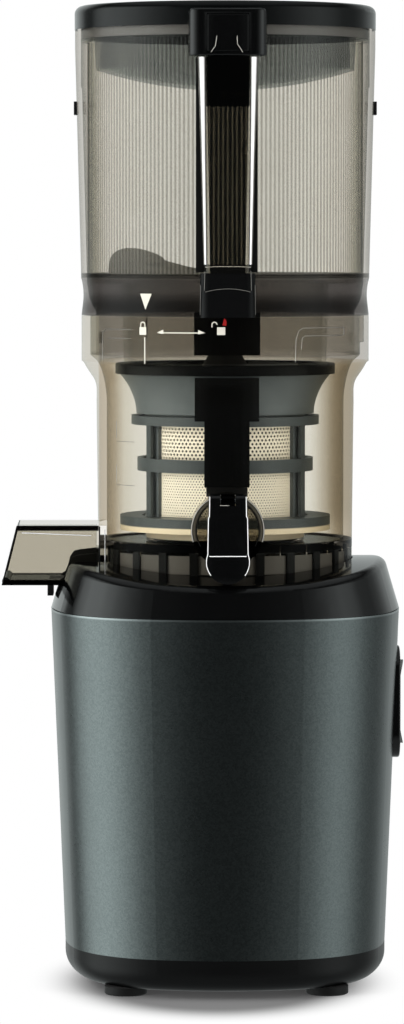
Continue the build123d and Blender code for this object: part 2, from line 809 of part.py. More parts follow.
# ================================================================ gearbox
gearbox_plate_top_z = gearbox_top_z + gearbox_cover_plate
boss_at = gearbox_r + gearbox_boss_r - 1.6     # bosses stand clear of the wheels
screw_ring = [(boss_at * cos(radians(a)), boss_at * sin(radians(a))) for a in (-160, -90, -20)]
screw_ring += [(boss_at * cos(radians(a)), counter_y + boss_at * sin(radians(a))) for a in (20, 90, 160)]


def gearbox_section(radius):
    """Two overlapping circles, round the output axis and the countershaft."""
    with BuildSketch() as section:
        Circle(radius)
        with Locations((0, counter_y)):
            Circle(radius)
        with Locations((0, counter_y / 2)):
            Rectangle(2 * radius, counter_y)
    return section.sketch


with BuildPart() as gearbox_case:
    with BuildSketch(Plane.XY.offset(gearbox_bottom_z)):
        add(gearbox_section(gearbox_r + gearbox_wall))
        with Locations((0, 0)):
            Circle(motor_can_r)
    extrude(amount=gearbox_floor)
    with BuildSketch(Plane.XY.offset(gearbox_bottom_z)):
        add(gearbox_section(gearbox_r + gearbox_wall))
    extrude(amount=gearbox_top_z - gearbox_bottom_z)
    with BuildSketch(Plane.XY.offset(gearbox_bottom_z + gearbox_floor)):
        add(gearbox_section(gearbox_r))
    extrude(amount=gearbox_top_z - gearbox_bottom_z, mode=Mode.SUBTRACT)
    with BuildSketch(Plane.XY.offset(gearbox_bottom_z + gearbox_floor)):
        with Locations(*screw_ring):
            Circle(gearbox_boss_r)
    extrude(amount=gearbox_top_z - gearbox_bottom_z - gearbox_floor)
    with BuildSketch(Plane.XY.offset(gearbox_bottom_z)):
        Circle(motor_bearing_r + 3)
    extrude(amount=-motor_bearing)
    with BuildSketch(Plane.XY.offset(upper_bearing_z)):
        Circle(motor_bearing_r)
    extrude(amount=motor_bearing, mode=Mode.SUBTRACT)
    with BuildSketch(Plane.XY.offset(gearbox_bottom_z)):
        Circle(motor_shaft_r + 1)
    extrude(amount=2 * gearbox_floor, mode=Mode.SUBTRACT)
    with BuildSketch(Plane.XY.offset(gearbox_bottom_z + 1.5)):
        with Locations((0, counter_y)):
            Circle(counter_shaft_r + shaft_gap)
    extrude(amount=gearbox_floor, mode=Mode.SUBTRACT)
    with BuildSketch(Plane.XY.offset(gearbox_top_z)):
        with Locations(*screw_ring):
            Circle(box_screw_r)
    extrude(amount=-box_screw_length - 2, mode=Mode.SUBTRACT)
save(gearbox_case, "gearbox_case")

with BuildPart() as gearbox_cover:
    with BuildSketch(Plane.XY.offset(gearbox_top_z)):
        add(gearbox_section(gearbox_r + gearbox_wall))
        with Locations(*screw_ring):
            Circle(gearbox_boss_r)
    extrude(amount=gearbox_cover_plate)
    with BuildSketch(Plane.XY.offset(gearbox_top_z)):
        Circle(output_bearing_r + 3)
    extrude(amount=-(gearbox_top_z - high_wheel_top_z - 1.5))
    with BuildSketch(Plane.XY.offset(high_wheel_top_z + 1.5)):
        Circle(output_bearing_r)
    extrude(amount=gearbox_top_z + gearbox_cover_plate, mode=Mode.SUBTRACT)
    with BuildSketch(Plane.XY.offset(gearbox_top_z)):
        with Locations((0, counter_y)):
            Circle(counter_shaft_r + shaft_gap)
    extrude(amount=gearbox_cover_plate - 1.5, mode=Mode.SUBTRACT)
    with BuildSketch(Plane.XY.offset(gearbox_top_z)):
        with Locations(*screw_ring):
            Circle(box_screw_r + 0.2)
    extrude(amount=gearbox_cover_plate, mode=Mode.SUBTRACT)
    with BuildSketch(Plane.XY.offset(gearbox_plate_top_z)):
        with Locations(*screw_ring):
            Circle(box_screw_head_r + 0.2)
    extrude(amount=-box_screw_head - 0.2, mode=Mode.SUBTRACT)
save(gearbox_cover, "gearbox_cover")

with BuildPart() as gearbox_screws:
    with BuildSketch(Plane.XY.offset(gearbox_plate_top_z - box_screw_head - 0.2)):
        with Locations(*screw_ring):
            Circle(box_screw_head_r)
    extrude(amount=box_screw_head)
    with BuildSketch(Plane.XY.offset(gearbox_plate_top_z - box_screw_head - 0.2)):
        with Locations(*screw_ring):
            Circle(box_screw_r)
    extrude(amount=-box_screw_length)
save(gearbox_screws, "gearbox_screws")

with BuildPart() as countershaft:
    with BuildSketch(Plane.XY.offset(gearbox_bottom_z + 1.5 + seat_gap)):
        with Locations((0, counter_y)):
            Circle(counter_shaft_r)
    extrude(amount=gearbox_plate_top_z - 1.5 - gearbox_bottom_z - 1.5 - 2 * seat_gap)
save(countershaft, "countershaft")

with BuildPart() as compound_gear:
    with BuildSketch(Plane.XY.offset(low_wheel_z)):
        with Locations((0, counter_y)):
            add(outer_gear(wheel_teeth, gear_module))
    extrude(amount=wheel_width)
    with BuildSketch(Plane.XY.offset(low_wheel_top_z)):
        with Locations((0, counter_y)):
            Circle(6.4)
    extrude(amount=high_wheel_z - pinion_over - low_wheel_top_z)
    with BuildSketch(Plane.XY.offset(high_wheel_z - pinion_over)):
        with Locations((0, counter_y)):
            add(outer_gear(pinion_teeth, gear_module, compound_pinion_turn))
    extrude(amount=wheel_width + 2 * pinion_over)
    with BuildSketch(Plane.XY.offset(low_wheel_z)):
        with Locations((0, counter_y)):
            Circle(counter_shaft_r)
    extrude(amount=gearbox_top_z, mode=Mode.SUBTRACT)
save(compound_gear, "compound_gear")

with BuildPart() as output_gear:
    with BuildSketch(Plane.XY.offset(high_wheel_z)):
        add(outer_gear(wheel_teeth, gear_module))
        Circle(output_shaft_r, mode=Mode.SUBTRACT)
        with PolarLocations(web_hole_at, web_holes):
            Circle(web_hole_r, mode=Mode.SUBTRACT)
    extrude(amount=wheel_width)
save(output_gear, "output_gear")

with BuildPart() as output_shaft:
    with BuildSketch(Plane.XY.offset(high_wheel_z - pinion_over)):
        Circle(output_shaft_r)
    extrude(amount=hex_bottom_z - high_wheel_z + pinion_over)
    with BuildSketch(Plane.XY.offset(hex_bottom_z)):
        RegularPolygon(hex_flats / 2, 6, major_radius=False)
    extrude(amount=hex_top_z - hex_bottom_z)
    chamfer(output_shaft.edges().group_by(Axis.Z)[-1], 1.0)
save(output_shaft, "output_shaft")

with BuildPart() as output_bearing:
    with BuildSketch(Plane.XY.offset(high_wheel_top_z + 1.5)):
        Circle(output_bearing_r)
        Circle(output_shaft_r + shaft_gap, mode=Mode.SUBTRACT)
    extrude(amount=gearbox_plate_top_z - high_wheel_top_z - 1.5)
save(output_bearing, "output_bearing")

# ---- electronics: board on the switch side wall and a motor capacitor
with BuildPart() as control_board:
    with BuildSketch(Plane.YZ.offset(board_x)):
        with Locations((0, board_z)):
            Rectangle(board_width, board_height)
    extrude(amount=board_thick)
    for part_y, part_z, part_width, part_height in board_parts:
        with BuildSketch(Plane.YZ.offset(board_x)):
            with Locations((part_y, board_z + part_z)):
                Rectangle(part_width, part_height)
        extrude(amount=-board_part_depth)
    with BuildSketch(Plane.YZ.offset(board_x)):
        with Locations((board_can_y, board_z + board_can_z)):
            Circle(board_can_r)
    extrude(amount=-board_can_depth)
    with BuildSketch(Plane.YZ.offset(board_x + board_thick)):
        with Locations((0, board_z)):
            with GridLocations(board_width - 2 * standoff_inset, board_height - 2 * standoff_inset, 2, 2):
                Circle(standoff_r)
    extrude(amount=shell_top_half - board_x)
    add(shell_core.part, mode=Mode.INTERSECT)
save(control_board, "control_board")

with BuildPart() as capacitor:
    with Locations((-(motor_can_r + capacitor_r + 0.2), 0, capacitor_z)):
        Cylinder(capacitor_r, capacitor_height)
    with Locations(((-motor_can_r - shell_top_half) / 2, 0, capacitor_z)):
        Box(shell_top_half - motor_can_r, capacitor_strap, capacitor_strap_height)
    add(shell_core.part, mode=Mode.INTERSECT)
    with Locations((0, 0, capacitor_z)):
        Cylinder(motor_can_r, 2 * capacitor_height, mode=Mode.SUBTRACT)
save(capacitor, "capacitor")

# ================================================================ bowl
with BuildPart() as drum:
    with BuildSketch(Plane.XZ):
        with BuildLine():
            Polyline((0, well_floor_z), (drum_base_r, well_floor_z), (drum_base_r, drum_floor_z))
            Line((drum_base_r, drum_floor_z), (drum_top_r, drum_straight_z))
            Spline((drum_top_r, drum_straight_z), (drum_flare_r, drum_flare_z),
                   (collar_r - 2.2, collar_bottom_z - 2.8), (collar_r, collar_bottom_z),
                   tangents=[(0, 1), (1, 0.5)])
            Polyline((collar_r, collar_bottom_z), (collar_r, collar_top_z), (0, collar_top_z),
                     (0, well_floor_z))
        make_face()
    revolve(axis=Axis.Z)
    # chute outside, from the wall to its slanted mouth
    with BuildSketch(Plane.XZ):
        with BuildLine():
            Polyline((-drum_inner_r, chute_bottom_z), (chute_lip_x, chute_bottom_z),
                     (chute_end_x, chute_top_z), (-drum_inner_r, chute_top_z), close=True)
        make_face()
    extrude(amount=chute_half_width, both=True)
    # spout outside: a wide tube, and the small boss of its mouth below
    with BuildSketch(Plane.XZ.offset(drum_inner_r - 4)):
        with Locations((0, spout_z)):
            Circle(spout_r)
    extrude(amount=-spout_front_y - drum_inner_r + 4)
    with BuildSketch(Plane.XZ.offset(-spout_front_y - mouth_boss_depth)):
        with Locations((0, mouth_z)):
            Circle(mouth_boss_r)
    extrude(amount=mouth_boss_depth)
    # hollow above the floor
    with BuildSketch(Plane.XZ):
        with BuildLine():
            Polyline((0, drum_floor_z), (drum_inner_r, drum_floor_z), (drum_inner_r, drum_straight_z))
            Spline((drum_inner_r, drum_straight_z), (drum_flare_r - drum_wall, drum_flare_z + 2),
                   (collar_inner_r - 2, collar_bottom_z + 1.5), (collar_inner_r, collar_bottom_z + 3.5),
                   tangents=[(0, 1), (0.4, 1)])
            Polyline((collar_inner_r, collar_bottom_z + 3.5), (collar_inner_r, collar_top_z),
                     (0, collar_top_z), (0, drum_floor_z))
        make_face()
    revolve(axis=Axis.Z, mode=Mode.SUBTRACT)
    # hollow skirt below the floor
    with BuildSketch(Plane.XY.offset(well_floor_z)):
        Circle(drum_inner_r)
    extrude(amount=drum_floor_z - drum_floor - well_floor_z, mode=Mode.SUBTRACT)
    # ribs of the skirt, left out where the duct runs
    with BuildSketch(Plane.XY.offset(well_floor_z + 1)):
        for rib in range(skirt_ribs):
            rib_angle = (rib + 0.5) * 360 / skirt_ribs
            if abs(rib_angle - 180) > 20:
                with PolarLocations(drum_inner_r - skirt_rib_depth / 2 + 1, 1, start_angle=rib_angle):
                    Rectangle(skirt_rib_depth + 2, skirt_rib_width)
    extrude(amount=drum_floor_z - drum_floor - well_floor_z - 1)
    # duct under the floor and the chimney over it
    with BuildSketch(Plane.XY.offset(chute_bottom_z)):
        with Locations(((duct_inner_x + duct_wall - drum_base_r) / 2, 0)):
            Rectangle(drum_base_r + duct_inner_x + duct_wall, 2 * (duct_half_width + duct_wall))
    extrude(amount=drum_floor_z - chute_bottom_z)
    with BuildSketch(Plane.XY.offset(drum_floor_z)):
        with Locations(((duct_inner_x + chimney_outer_x) / 2, 0)):
            Rectangle(duct_inner_x - chimney_outer_x, 2 * chimney_half_width)
    extrude(amount=chimney_top_z - drum_floor_z)
    # centre tube round the drive hexagon, and the idler's pin
    with BuildSketch(Plane.XY.offset(well_floor_z)):
        Circle(hub_r)
    extrude(amount=hub_top_z - well_floor_z)
    with BuildSketch(Plane.XY.offset(drum_floor_z)):
        with Locations((idler_x, idler_y)):
            Circle(idler_pin_r)
    extrude(amount=ring_gear_z + ring_gear_height - drum_floor_z)
    # track that the wiper cage's toothed ring runs on
    with BuildSketch(Plane.XY.offset(drum_floor_z)):
        Circle(ring_gear_r - 0.5)
        Circle(ring_gear_r - 3.5, mode=Mode.SUBTRACT)
    extrude(amount=ring_gear_z - seat_gap - drum_floor_z)
    # passages
    with BuildSketch(Plane.XY.offset(well_floor_z)):
        Circle(hub_bore_r)
    extrude(amount=hub_top_z, mode=Mode.SUBTRACT)
    with BuildSketch(Plane.XY.offset(chute_bottom_z + chute_wall)):
        with Locations(((duct_inner_x - drum_base_r - 4) / 2, 0)):
            Rectangle(drum_base_r + duct_inner_x + 4, 2 * duct_half_width)
    extrude(amount=drum_floor_z - drum_floor - chute_bottom_z - chute_wall, mode=Mode.SUBTRACT)
    with BuildSketch(Plane.XY.offset(chute_bottom_z + chute_wall)):
        with Locations(((duct_inner_x + chimney_outer_x) / 2, 0)):
            Rectangle(duct_inner_x - chimney_outer_x - 3, 2 * chimney_half_width - 3)
    extrude(amount=chimney_top_z, mode=Mode.SUBTRACT)
    with BuildSketch(Plane.XZ):
        with BuildLine():
            Polyline((-drum_base_r - 1, chute_bottom_z + chute_wall),
                     (chute_lip_x - 10, chute_bottom_z + chute_wall),
                     (chute_lip_x - 10, chute_top_z - chute_wall),
                     (-drum_base_r - 1, chute_top_z - chute_wall), close=True)
        make_face()
    extrude(amount=chute_half_width - chute_wall, both=True, mode=Mode.SUBTRACT)
    with BuildSketch(Plane.XY.offset(chute_bottom_z)):
        with Locations(((plug_outer_x + plug_inner_x) / 2, 0)):
            Rectangle(plug_inner_x - plug_outer_x, 2 * plug_half_width)
    extrude(amount=chute_wall, mode=Mode.SUBTRACT)
    with BuildSketch(Plane.XZ.offset(drum_inner_r + 2)):
        with Locations((0, spout_z)):
            Circle(spout_r - spout_wall)
    extrude(amount=-spout_front_y - spout_wall - drum_inner_r - 2, mode=Mode.SUBTRACT)
    with BuildSketch(Plane.XZ.offset(drum_inner_r - 4)):
        with Locations((0, drum_floor_z + juice_hole_r + 1)):
            Circle(juice_hole_r)
    extrude(amount=8, mode=Mode.SUBTRACT)
    with BuildSketch(Plane.XZ.offset(-spout_front_y - mouth_boss_depth + 1.5)):
        with Locations((0, mouth_z)):
            Circle(mouth_r)
    extrude(amount=mouth_boss_depth, mode=Mode.SUBTRACT)
    # lug that carries the cap's pin
    with BuildSketch(Plane.YZ):
        with Locations((cap_pin_y, cap_pin_z)):
            Circle(cap_lug_r)
        with Locations(((cap_pin_y + spout_front_y) / 2, cap_pin_z)):
            Rectangle(spout_front_y - cap_pin_y, 2 * cap_lug_r)
    extrude(amount=cap_lug_half, both=True)
    with Locations((0, cap_pin_y, cap_pin_z)):
        Cylinder(cap_pin_r, 4 * cap_lug_half, rotation=(0, 90, 0), mode=Mode.SUBTRACT)
    # bayonet slots inside the collar: an entry from the top and a run to the lock
    for lug in range(lug_count):
        lug_start = 90 + lug * 360 / lug_count
        slot_out = collar_inner_r + lug_reach
        low_angle = lug_start - lug_angle / 2 - slot_margin
        entry_angle = lug_start + twist - lug_angle / 2 - slot_margin
        high_angle = lug_start + twist + lug_angle / 2 + slot_margin
        with BuildSketch(Plane.XY.offset(lug_bottom_z - body_gap)):
            add(ring_sector(collar_inner_r - 1, slot_out, low_angle, high_angle))
        extrude(amount=lug_height + 2 * body_gap, mode=Mode.SUBTRACT)
        with BuildSketch(Plane.XY.offset(lug_bottom_z)):
            add(ring_sector(collar_inner_r - 1, slot_out, entry_angle, high_angle))
        extrude(amount=collar_top_z - lug_bottom_z, mode=Mode.SUBTRACT)
save(drum, "drum")

with BuildPart() as centre_seal:
    with BuildSketch(Plane.XY.offset(hub_top_z)):
        Circle(hub_r)
        Circle(hex_flats / 2 / cos(radians(30)) + body_gap, mode=Mode.SUBTRACT)
    extrude(amount=seal_height)
save(centre_seal, "centre_seal")

with BuildPart() as pulp_plug:
    with BuildSketch(Plane.XY.offset(chute_bottom_z)):
        with Locations(((plug_outer_x + plug_inner_x) / 2, 0)):
            Rectangle(plug_inner_x - plug_outer_x, 2 * plug_half_width)
    extrude(amount=chute_wall)
    with BuildSketch(Plane.XY.offset(chute_bottom_z)):
        with Locations((plug_outer_x + plug_tab / 2 - plug_tab_over, 0)):
            Rectangle(plug_tab, 2 * plug_half_width - 4)
    extrude(amount=plug_tab_bottom_z - chute_bottom_z)
save(pulp_plug, "pulp_plug")

with BuildPart() as safety_bar:
    with BuildSketch(Plane.XY.offset(spout_z + spout_r + 2)):
        Circle(drum_inner_r)
        Circle(drum_inner_r - safety_bar_depth, mode=Mode.SUBTRACT)
        with Locations((0, -drum_inner_r)):
            Rectangle(safety_bar_width, 4 * safety_bar_depth, mode=Mode.INTERSECT)
    extrude(amount=drum_straight_z - spout_z - spout_r - 2)
    with BuildSketch(Plane.XY.offset(safety_head_z)):
        Circle(drum_inner_r)
        Circle(drum_inner_r - safety_head_depth, mode=Mode.SUBTRACT)
        with Locations((0, -drum_inner_r)):
            Rectangle(safety_head_width, 4 * safety_head_depth, mode=Mode.INTERSECT)
    extrude(amount=funnel_top_z - safety_bar_gap - safety_head_z)
save(safety_bar, "safety_bar")

# ================================================================ strainer and wiper
with BuildPart() as strainer_mesh:
    with BuildSketch(Plane.XY.offset(strainer_floor_z + strainer_floor)):
        Circle(mesh_r)
        Circle(mesh_r - mesh_wall, mode=Mode.SUBTRACT)
    extrude(amount=window_top_z - strainer_floor_z - strainer_floor)
save(strainer_mesh, "strainer_mesh")

with BuildPart() as strainer_frame:
    with BuildSketch(Plane.XY.offset(strainer_floor_z)):
        Circle(mesh_r + strainer_rib)
        Circle(screw_stem_r + 2.6, mode=Mode.SUBTRACT)
    extrude(amount=strainer_floor)
    with BuildSketch(Plane.XY.offset(strainer_floor_z + strainer_floor)):
        Circle(mesh_r + strainer_rib)
        Circle(mesh_r, mode=Mode.SUBTRACT)
    extrude(amount=window_bottom_z - strainer_floor_z - strainer_floor)
    with BuildSketch(Plane.XY.offset(window_bottom_z)):
        Circle(mesh_r + strainer_rib)
        Circle(mesh_r, mode=Mode.SUBTRACT)
    extrude(amount=window_top_z - window_bottom_z)
    for window in range(strainer_ribs):
        middle = 360 / strainer_ribs * window + 60
        with BuildSketch(Plane.XY.offset(window_bottom_z)):
            Circle(mesh_r + 2 * strainer_rib)
            with PolarLocations(0, 1, start_angle=middle - window_half_angle):
                Rectangle(200, 100, align=(Align.CENTER, Align.MIN), mode=Mode.INTERSECT)
            with PolarLocations(0, 1, start_angle=middle + window_half_angle):
                Rectangle(200, 100, align=(Align.CENTER, Align.MAX), mode=Mode.INTERSECT)
            Circle(mesh_r, mode=Mode.SUBTRACT)
        extrude(amount=window_top_z - 2 - window_bottom_z, mode=Mode.SUBTRACT)
    with BuildSketch(Plane.XZ):
        with BuildLine():
            Polyline((lip_r, window_top_z), (mesh_r + strainer_rib, window_top_z),
                     (funnel_r, window_top_z + 0.4))
            Spline((funnel_r, window_top_z + 0.4), (funnel_r + 1.6, window_top_z + 9),
                   (funnel_top_r, funnel_top_z), tangents=[(0, 1), (1, 1)])
            Line((funnel_top_r, funnel_top_z), (funnel_top_r - funnel_wall - 1, funnel_top_z))
            Spline((funnel_top_r - funnel_wall - 1, funnel_top_z),
                   (funnel_r + 1.6 - funnel_wall, window_top_z + 9),
                   (lip_r, window_top_z + 2.5), tangents=[(-1, -1), (-1, -0.4)])
            Line((lip_r, window_top_z + 2.5), (lip_r, window_top_z))
        make_face()
    revolve(axis=Axis.Z)
    with BuildSketch(Plane.XY.offset(strainer_floor_z)):
        with Locations(((duct_inner_x + chimney_outer_x) / 2, 0)):
            Rectangle(duct_inner_x - chimney_outer_x - 3, 2 * chimney_half_width - 3)
    extrude(amount=strainer_floor, mode=Mode.SUBTRACT)
save(strainer_frame, "strainer_frame")

with BuildPart() as strainer_gasket:
    with BuildSketch(Plane.XY.offset(funnel_top_z)):
        Circle(gasket_r)
        Circle(funnel_top_r - funnel_wall - 1, mode=Mode.SUBTRACT)
    extrude(amount=gasket_height)
    fillet(strainer_gasket.edges().group_by(Axis.Z)[-1], 1.0)
save(strainer_gasket, "strainer_gasket")

post_angles = (-90 - cage_post_angle, -90 + cage_post_angle, 90 - cage_post_angle, 90 + cage_post_angle)
with BuildPart() as wiper_cage:
    with BuildSketch(Plane.XY.offset(ring_gear_z)):
        Circle(ring_gear_r)
        add(ring_space(ring_teeth, bowl_module, ring_turn), mode=Mode.SUBTRACT)
    extrude(amount=ring_gear_height)
    with BuildSketch(Plane.XY.offset(cage_low_z - cage_low_ring)):
        Circle(cage_low_r)
        Circle(cage_inner_r, mode=Mode.SUBTRACT)
    extrude(amount=cage_low_ring)
    with BuildSketch(Plane.XY.offset(ring_gear_z + ring_gear_height - 2)):
        Circle(cage_inner_r + 2)
        Circle(ring_gear_r - 1, mode=Mode.SUBTRACT)
    extrude(amount=2)
    with BuildSketch(Plane.XY.offset(cage_mid_z - cage_mid_ring)):
        Circle(cage_mid_r)
        Circle(cage_inner_r, mode=Mode.SUBTRACT)
    extrude(amount=cage_mid_ring)
    with BuildSketch(Plane.XY.offset(cage_top_z - cage_top_ring)):
        Circle(cage_top_r)
        Circle(cage_inner_r, mode=Mode.SUBTRACT)
    extrude(amount=cage_top_ring)
    with BuildSketch(Plane.XY.offset(cage_low_z)):
        for post_angle in post_angles:
            with PolarLocations(post_inner_r + cage_post_depth / 2, 1, start_angle=post_angle):
                Rectangle(cage_post_depth, cage_post_width)
    extrude(amount=cage_top_z - cage_top_ring - cage_low_z)
save(wiper_cage, "wiper_cage")

with BuildPart() as wiper_blades:
    with BuildSketch(Plane.XY.offset(cage_low_z + 1)):
        for post_angle in post_angles:
            with PolarLocations((blade_inner_r + post_inner_r) / 2, 1, start_angle=post_angle):
                Rectangle(post_inner_r - blade_inner_r, blade_thick)
    extrude(amount=cage_top_z - cage_top_ring - cage_low_z - 2)
    add(wiper_cage.part, mode=Mode.SUBTRACT)
save(wiper_blades, "wiper_blades")

with BuildPart() as idler_gear:
    with BuildSketch(Plane.XY.offset(ring_gear_z)):
        with Locations((idler_x, idler_y)):
            add(outer_gear(idler_teeth, bowl_module, idler_turn))
            Circle(idler_pin_r + shaft_gap, mode=Mode.SUBTRACT)
    extrude(amount=ring_gear_height)
save(idler_gear, "idler_gear")

# ================================================================ juicing screw
flight_rise = flight_top_z - flight_bottom_z
with BuildPart() as screw_flight:
    with BuildLine() as flight_path:
        Helix(flight_rise / flight_turns, flight_rise, flight_r - 8)
    with BuildSketch(Plane.XZ):
        with BuildLine():
            Polyline((flight_r - 26, -flight_thick * 0.8), (flight_r, -flight_thick / 2),
                     (flight_r, flight_thick / 2), (flight_r - 26, flight_thick * 0.8), close=True)
        make_face()
    sweep(path=flight_path.wires()[0], is_frenet=True)

with BuildPart() as juicing_screw:
    with BuildSketch(Plane.XY.offset(ring_gear_z)):
        add(outer_gear(screw_teeth, bowl_module))
    extrude(amount=ring_gear_height)
    with BuildSketch(Plane.XZ):
        with BuildLine():
            Polyline((0, screw_gear_top_z), (screw_stem_r, screw_gear_top_z), (screw_stem_r, screw_base_z),
                     (screw_base_r, screw_base_z), (screw_base_r, screw_base_z + 4))
            Spline((screw_base_r, screw_base_z + 4), (screw_belly_r, screw_belly_z),
                   (screw_waist_r, flight_top_z - 4), tangents=[(0.5, 1), (-0.3, 1)])
            Polyline((screw_waist_r, flight_top_z - 4), (neck_r, flight_top_z + 8), (neck_r, wing_bottom_z),
                     (0, wing_bottom_z), (0, screw_gear_top_z))
        make_face()
    revolve(axis=Axis.Z)
    add(screw_flight.part.moved(Location((0, 0, flight_bottom_z))))
    with BuildSketch(Plane.XY.offset(ring_gear_z)):
        Circle(screw_bore_r)
    extrude(amount=hub_top_z + seal_height + body_gap - ring_gear_z, mode=Mode.SUBTRACT)
    with BuildSketch(Plane.XY.offset(hub_top_z)):
        RegularPolygon(hex_flats / 2 + drive_gap, 6, major_radius=False)
    extrude(amount=hex_top_z + 1 - hub_top_z, mode=Mode.SUBTRACT)
save(juicing_screw, "juicing_screw")

# ---- cutting wing: a hub with one long rising blade and a short one opposite
with BuildPart() as cutting_wing:
    with BuildSketch(Plane.XY.offset(wing_bottom_z)):
        Circle(wing_hub_r)
    extrude(amount=wing_hub_height, taper=wing_hub_taper)
    with BuildSketch(Plane.XZ):
        with BuildLine():
            Line((-wing_blade_root, wing_bottom_z), (-wing_reach, wing_bottom_z))
            Spline((-wing_reach, wing_bottom_z), (-wing_reach + 3, wing_top_z - 2.5), (-wing_peak_x, wing_top_z),
                   (-wing_slope_x, wing_slope_z), (-wing_blade_root, wing_bottom_z + 2),
                   tangents=[(0, 1), (1, -0.1)])
            Line((-wing_blade_root, wing_bottom_z + 2), (-wing_blade_root, wing_bottom_z))
        make_face()
    extrude(amount=wing_blade_half, both=True)
save(cutting_wing, "cutting_wing")

# ================================================================ hopper
with BuildPart() as hopper:
    with BuildSketch(Plane.XZ):
        with BuildLine():
            Line((plug_r, hopper_foot_z), (collar_r, hopper_foot_z))
            Spline((collar_r, hopper_foot_z), (neck_waist_r, neck_waist_z), (hopper_low_r, hopper_low_z),
                   tangents=[(-0.1, 1), (0.3, 1)])
            Polyline((hopper_low_r, hopper_low_z), (hopper_top_r, hopper_top_z), (hopper_top_r, hopper_rim_z),
                     (hopper_top_r - hopper_wall, hopper_rim_z), (hopper_top_r - hopper_wall, hopper_top_z),
                     (hopper_low_r - hopper_wall, hopper_low_z), (hopper_low_r - hopper_wall, feed_z))
            Spline((hopper_low_r - hopper_wall, feed_z), (neck_waist_r - hopper_wall, neck_waist_z),
                   (plug_r - plug_wall, hopper_foot_z + 2), tangents=[(-0.3, -1), (-0.6, -1)])
            Polyline((plug_r - plug_wall, hopper_foot_z + 2), (plug_r - plug_wall, plug_bottom_z),
                     (plug_r, plug_bottom_z), (plug_r, hopper_foot_z))
        make_face()
    revolve(axis=Axis.Z)
    for lug in range(lug_count):
        lug_start = 90 + lug * 360 / lug_count
        with BuildSketch(Plane.XY.offset(lug_bottom_z)):
            with BuildLine():
                lug_out = collar_inner_r + lug_reach - body_gap
                for radius in (plug_r - 1, lug_out):
                    CenterArc((0, 0), radius, lug_start - lug_angle / 2, lug_angle)
                for side in (lug_start - lug_angle / 2, lug_start + lug_angle / 2):
                    Line(((plug_r - 1) * cos(radians(side)), (plug_r - 1) * sin(radians(side))),
                         (lug_out * cos(radians(side)), lug_out * sin(radians(side))))
            make_face()
        extrude(amount=lug_height)
    # hinge ears at the rear of the rim
    with BuildSketch(Plane.YZ.offset(-hinge_knuckle_half - slide_gap - hinge_ear)):
        with Locations((hinge_y, hinge_z)):
            Circle(hinge_r)
        with BuildLine():
            Polyline((hopper_top_r - 4, hinge_z - 9), (hinge_y, hinge_z - hinge_r), (hinge_y, hinge_z + 2.0),
                     (hopper_top_r - 4, hinge_z + 2.0), close=True)
        make_face()
    extrude(amount=hinge_ear)
    with BuildSketch(Plane.YZ.offset(hinge_knuckle_half + slide_gap)):
        with Locations((hinge_y, hinge_z)):
            Circle(hinge_r)
        with BuildLine():
            Polyline((hopper_top_r - 4, hinge_z - 9), (hinge_y, hinge_z - hinge_r), (hinge_y, hinge_z + 2.0),
                     (hopper_top_r - 4, hinge_z + 2.0), close=True)
        make_face()
    extrude(amount=hinge_ear)
    with Locations((0, hinge_y, hinge_z)):
        Cylinder(hinge_pin_r, 4 * hinge_knuckle_half, rotation=(0, 90, 0), mode=Mode.SUBTRACT)
    with BuildSketch(Plane.XY.offset(hopper_top_z - 20)):
        Circle(hopper_top_r - hopper_wall)
    extrude(amount=30, mode=Mode.SUBTRACT)
save(hopper, "hopper")

with BuildPart() as hopper_liner:
    with BuildSketch(Plane.XY.offset(liner_bottom_z)):
        Circle(liner_r)
        Circle(liner_r - liner_wall, mode=Mode.SUBTRACT)
    extrude(amount=liner_top_z - liner_bottom_z)
    with BuildSketch(Plane.XY.offset(liner_top_z)):
        Circle(hopper_top_r - hopper_wall)
        Circle(liner_r - liner_wall, mode=Mode.SUBTRACT)
    extrude(amount=liner_flange)
save(hopper_liner, "hopper_liner")

# ---- feed floor: dished plate with the feed hole, and the throat under it
with BuildPart() as feed_floor:
    with BuildSketch(Plane.XZ):
        with BuildLine():
            Polyline((floor_feed_r, feed_z), (hopper_low_r - hopper_wall - 0.6, feed_z),
                     (hopper_low_r - hopper_wall - 0.6, hopper_low_z),
                     (floor_feed_r, hopper_low_z), close=True)
        make_face()
        with BuildLine():
            Polyline((throat_r - throat_wall, feed_z), (throat_r, feed_z),
                     (throat_r - 1, funnel_top_z + gasket_height + body_gap),
                     (throat_r - 1 - throat_wall, funnel_top_z + gasket_height + body_gap), close=True)
        make_face()
    revolve(axis=Axis.Z)
save(feed_floor, "feed_floor")


def hopper_half(z):
    """Outer radius of the hopper's drafted wall at a height."""
    rise = (z - hopper_low_z) / (hopper_top_z - hopper_low_z)
    return hopper_low_r + rise * (hopper_top_r - hopper_low_r)


# ---- solid of the hopper's outside, to shape what is fixed on its front
with BuildPart() as hopper_outside:
    with BuildSketch(Plane.XZ):
        with BuildLine():
            Polyline((0, column_bottom_z - 30), (neck_waist_r, column_bottom_z - 30),
                     (neck_waist_r, neck_waist_z), (hopper_low_r, hopper_low_z),
                     (hopper_top_r, hopper_top_z), (hopper_top_r, hopper_rim_z), (0, hopper_rim_z),
                     close=True)
        make_face()
    revolve(axis=Axis.Z)

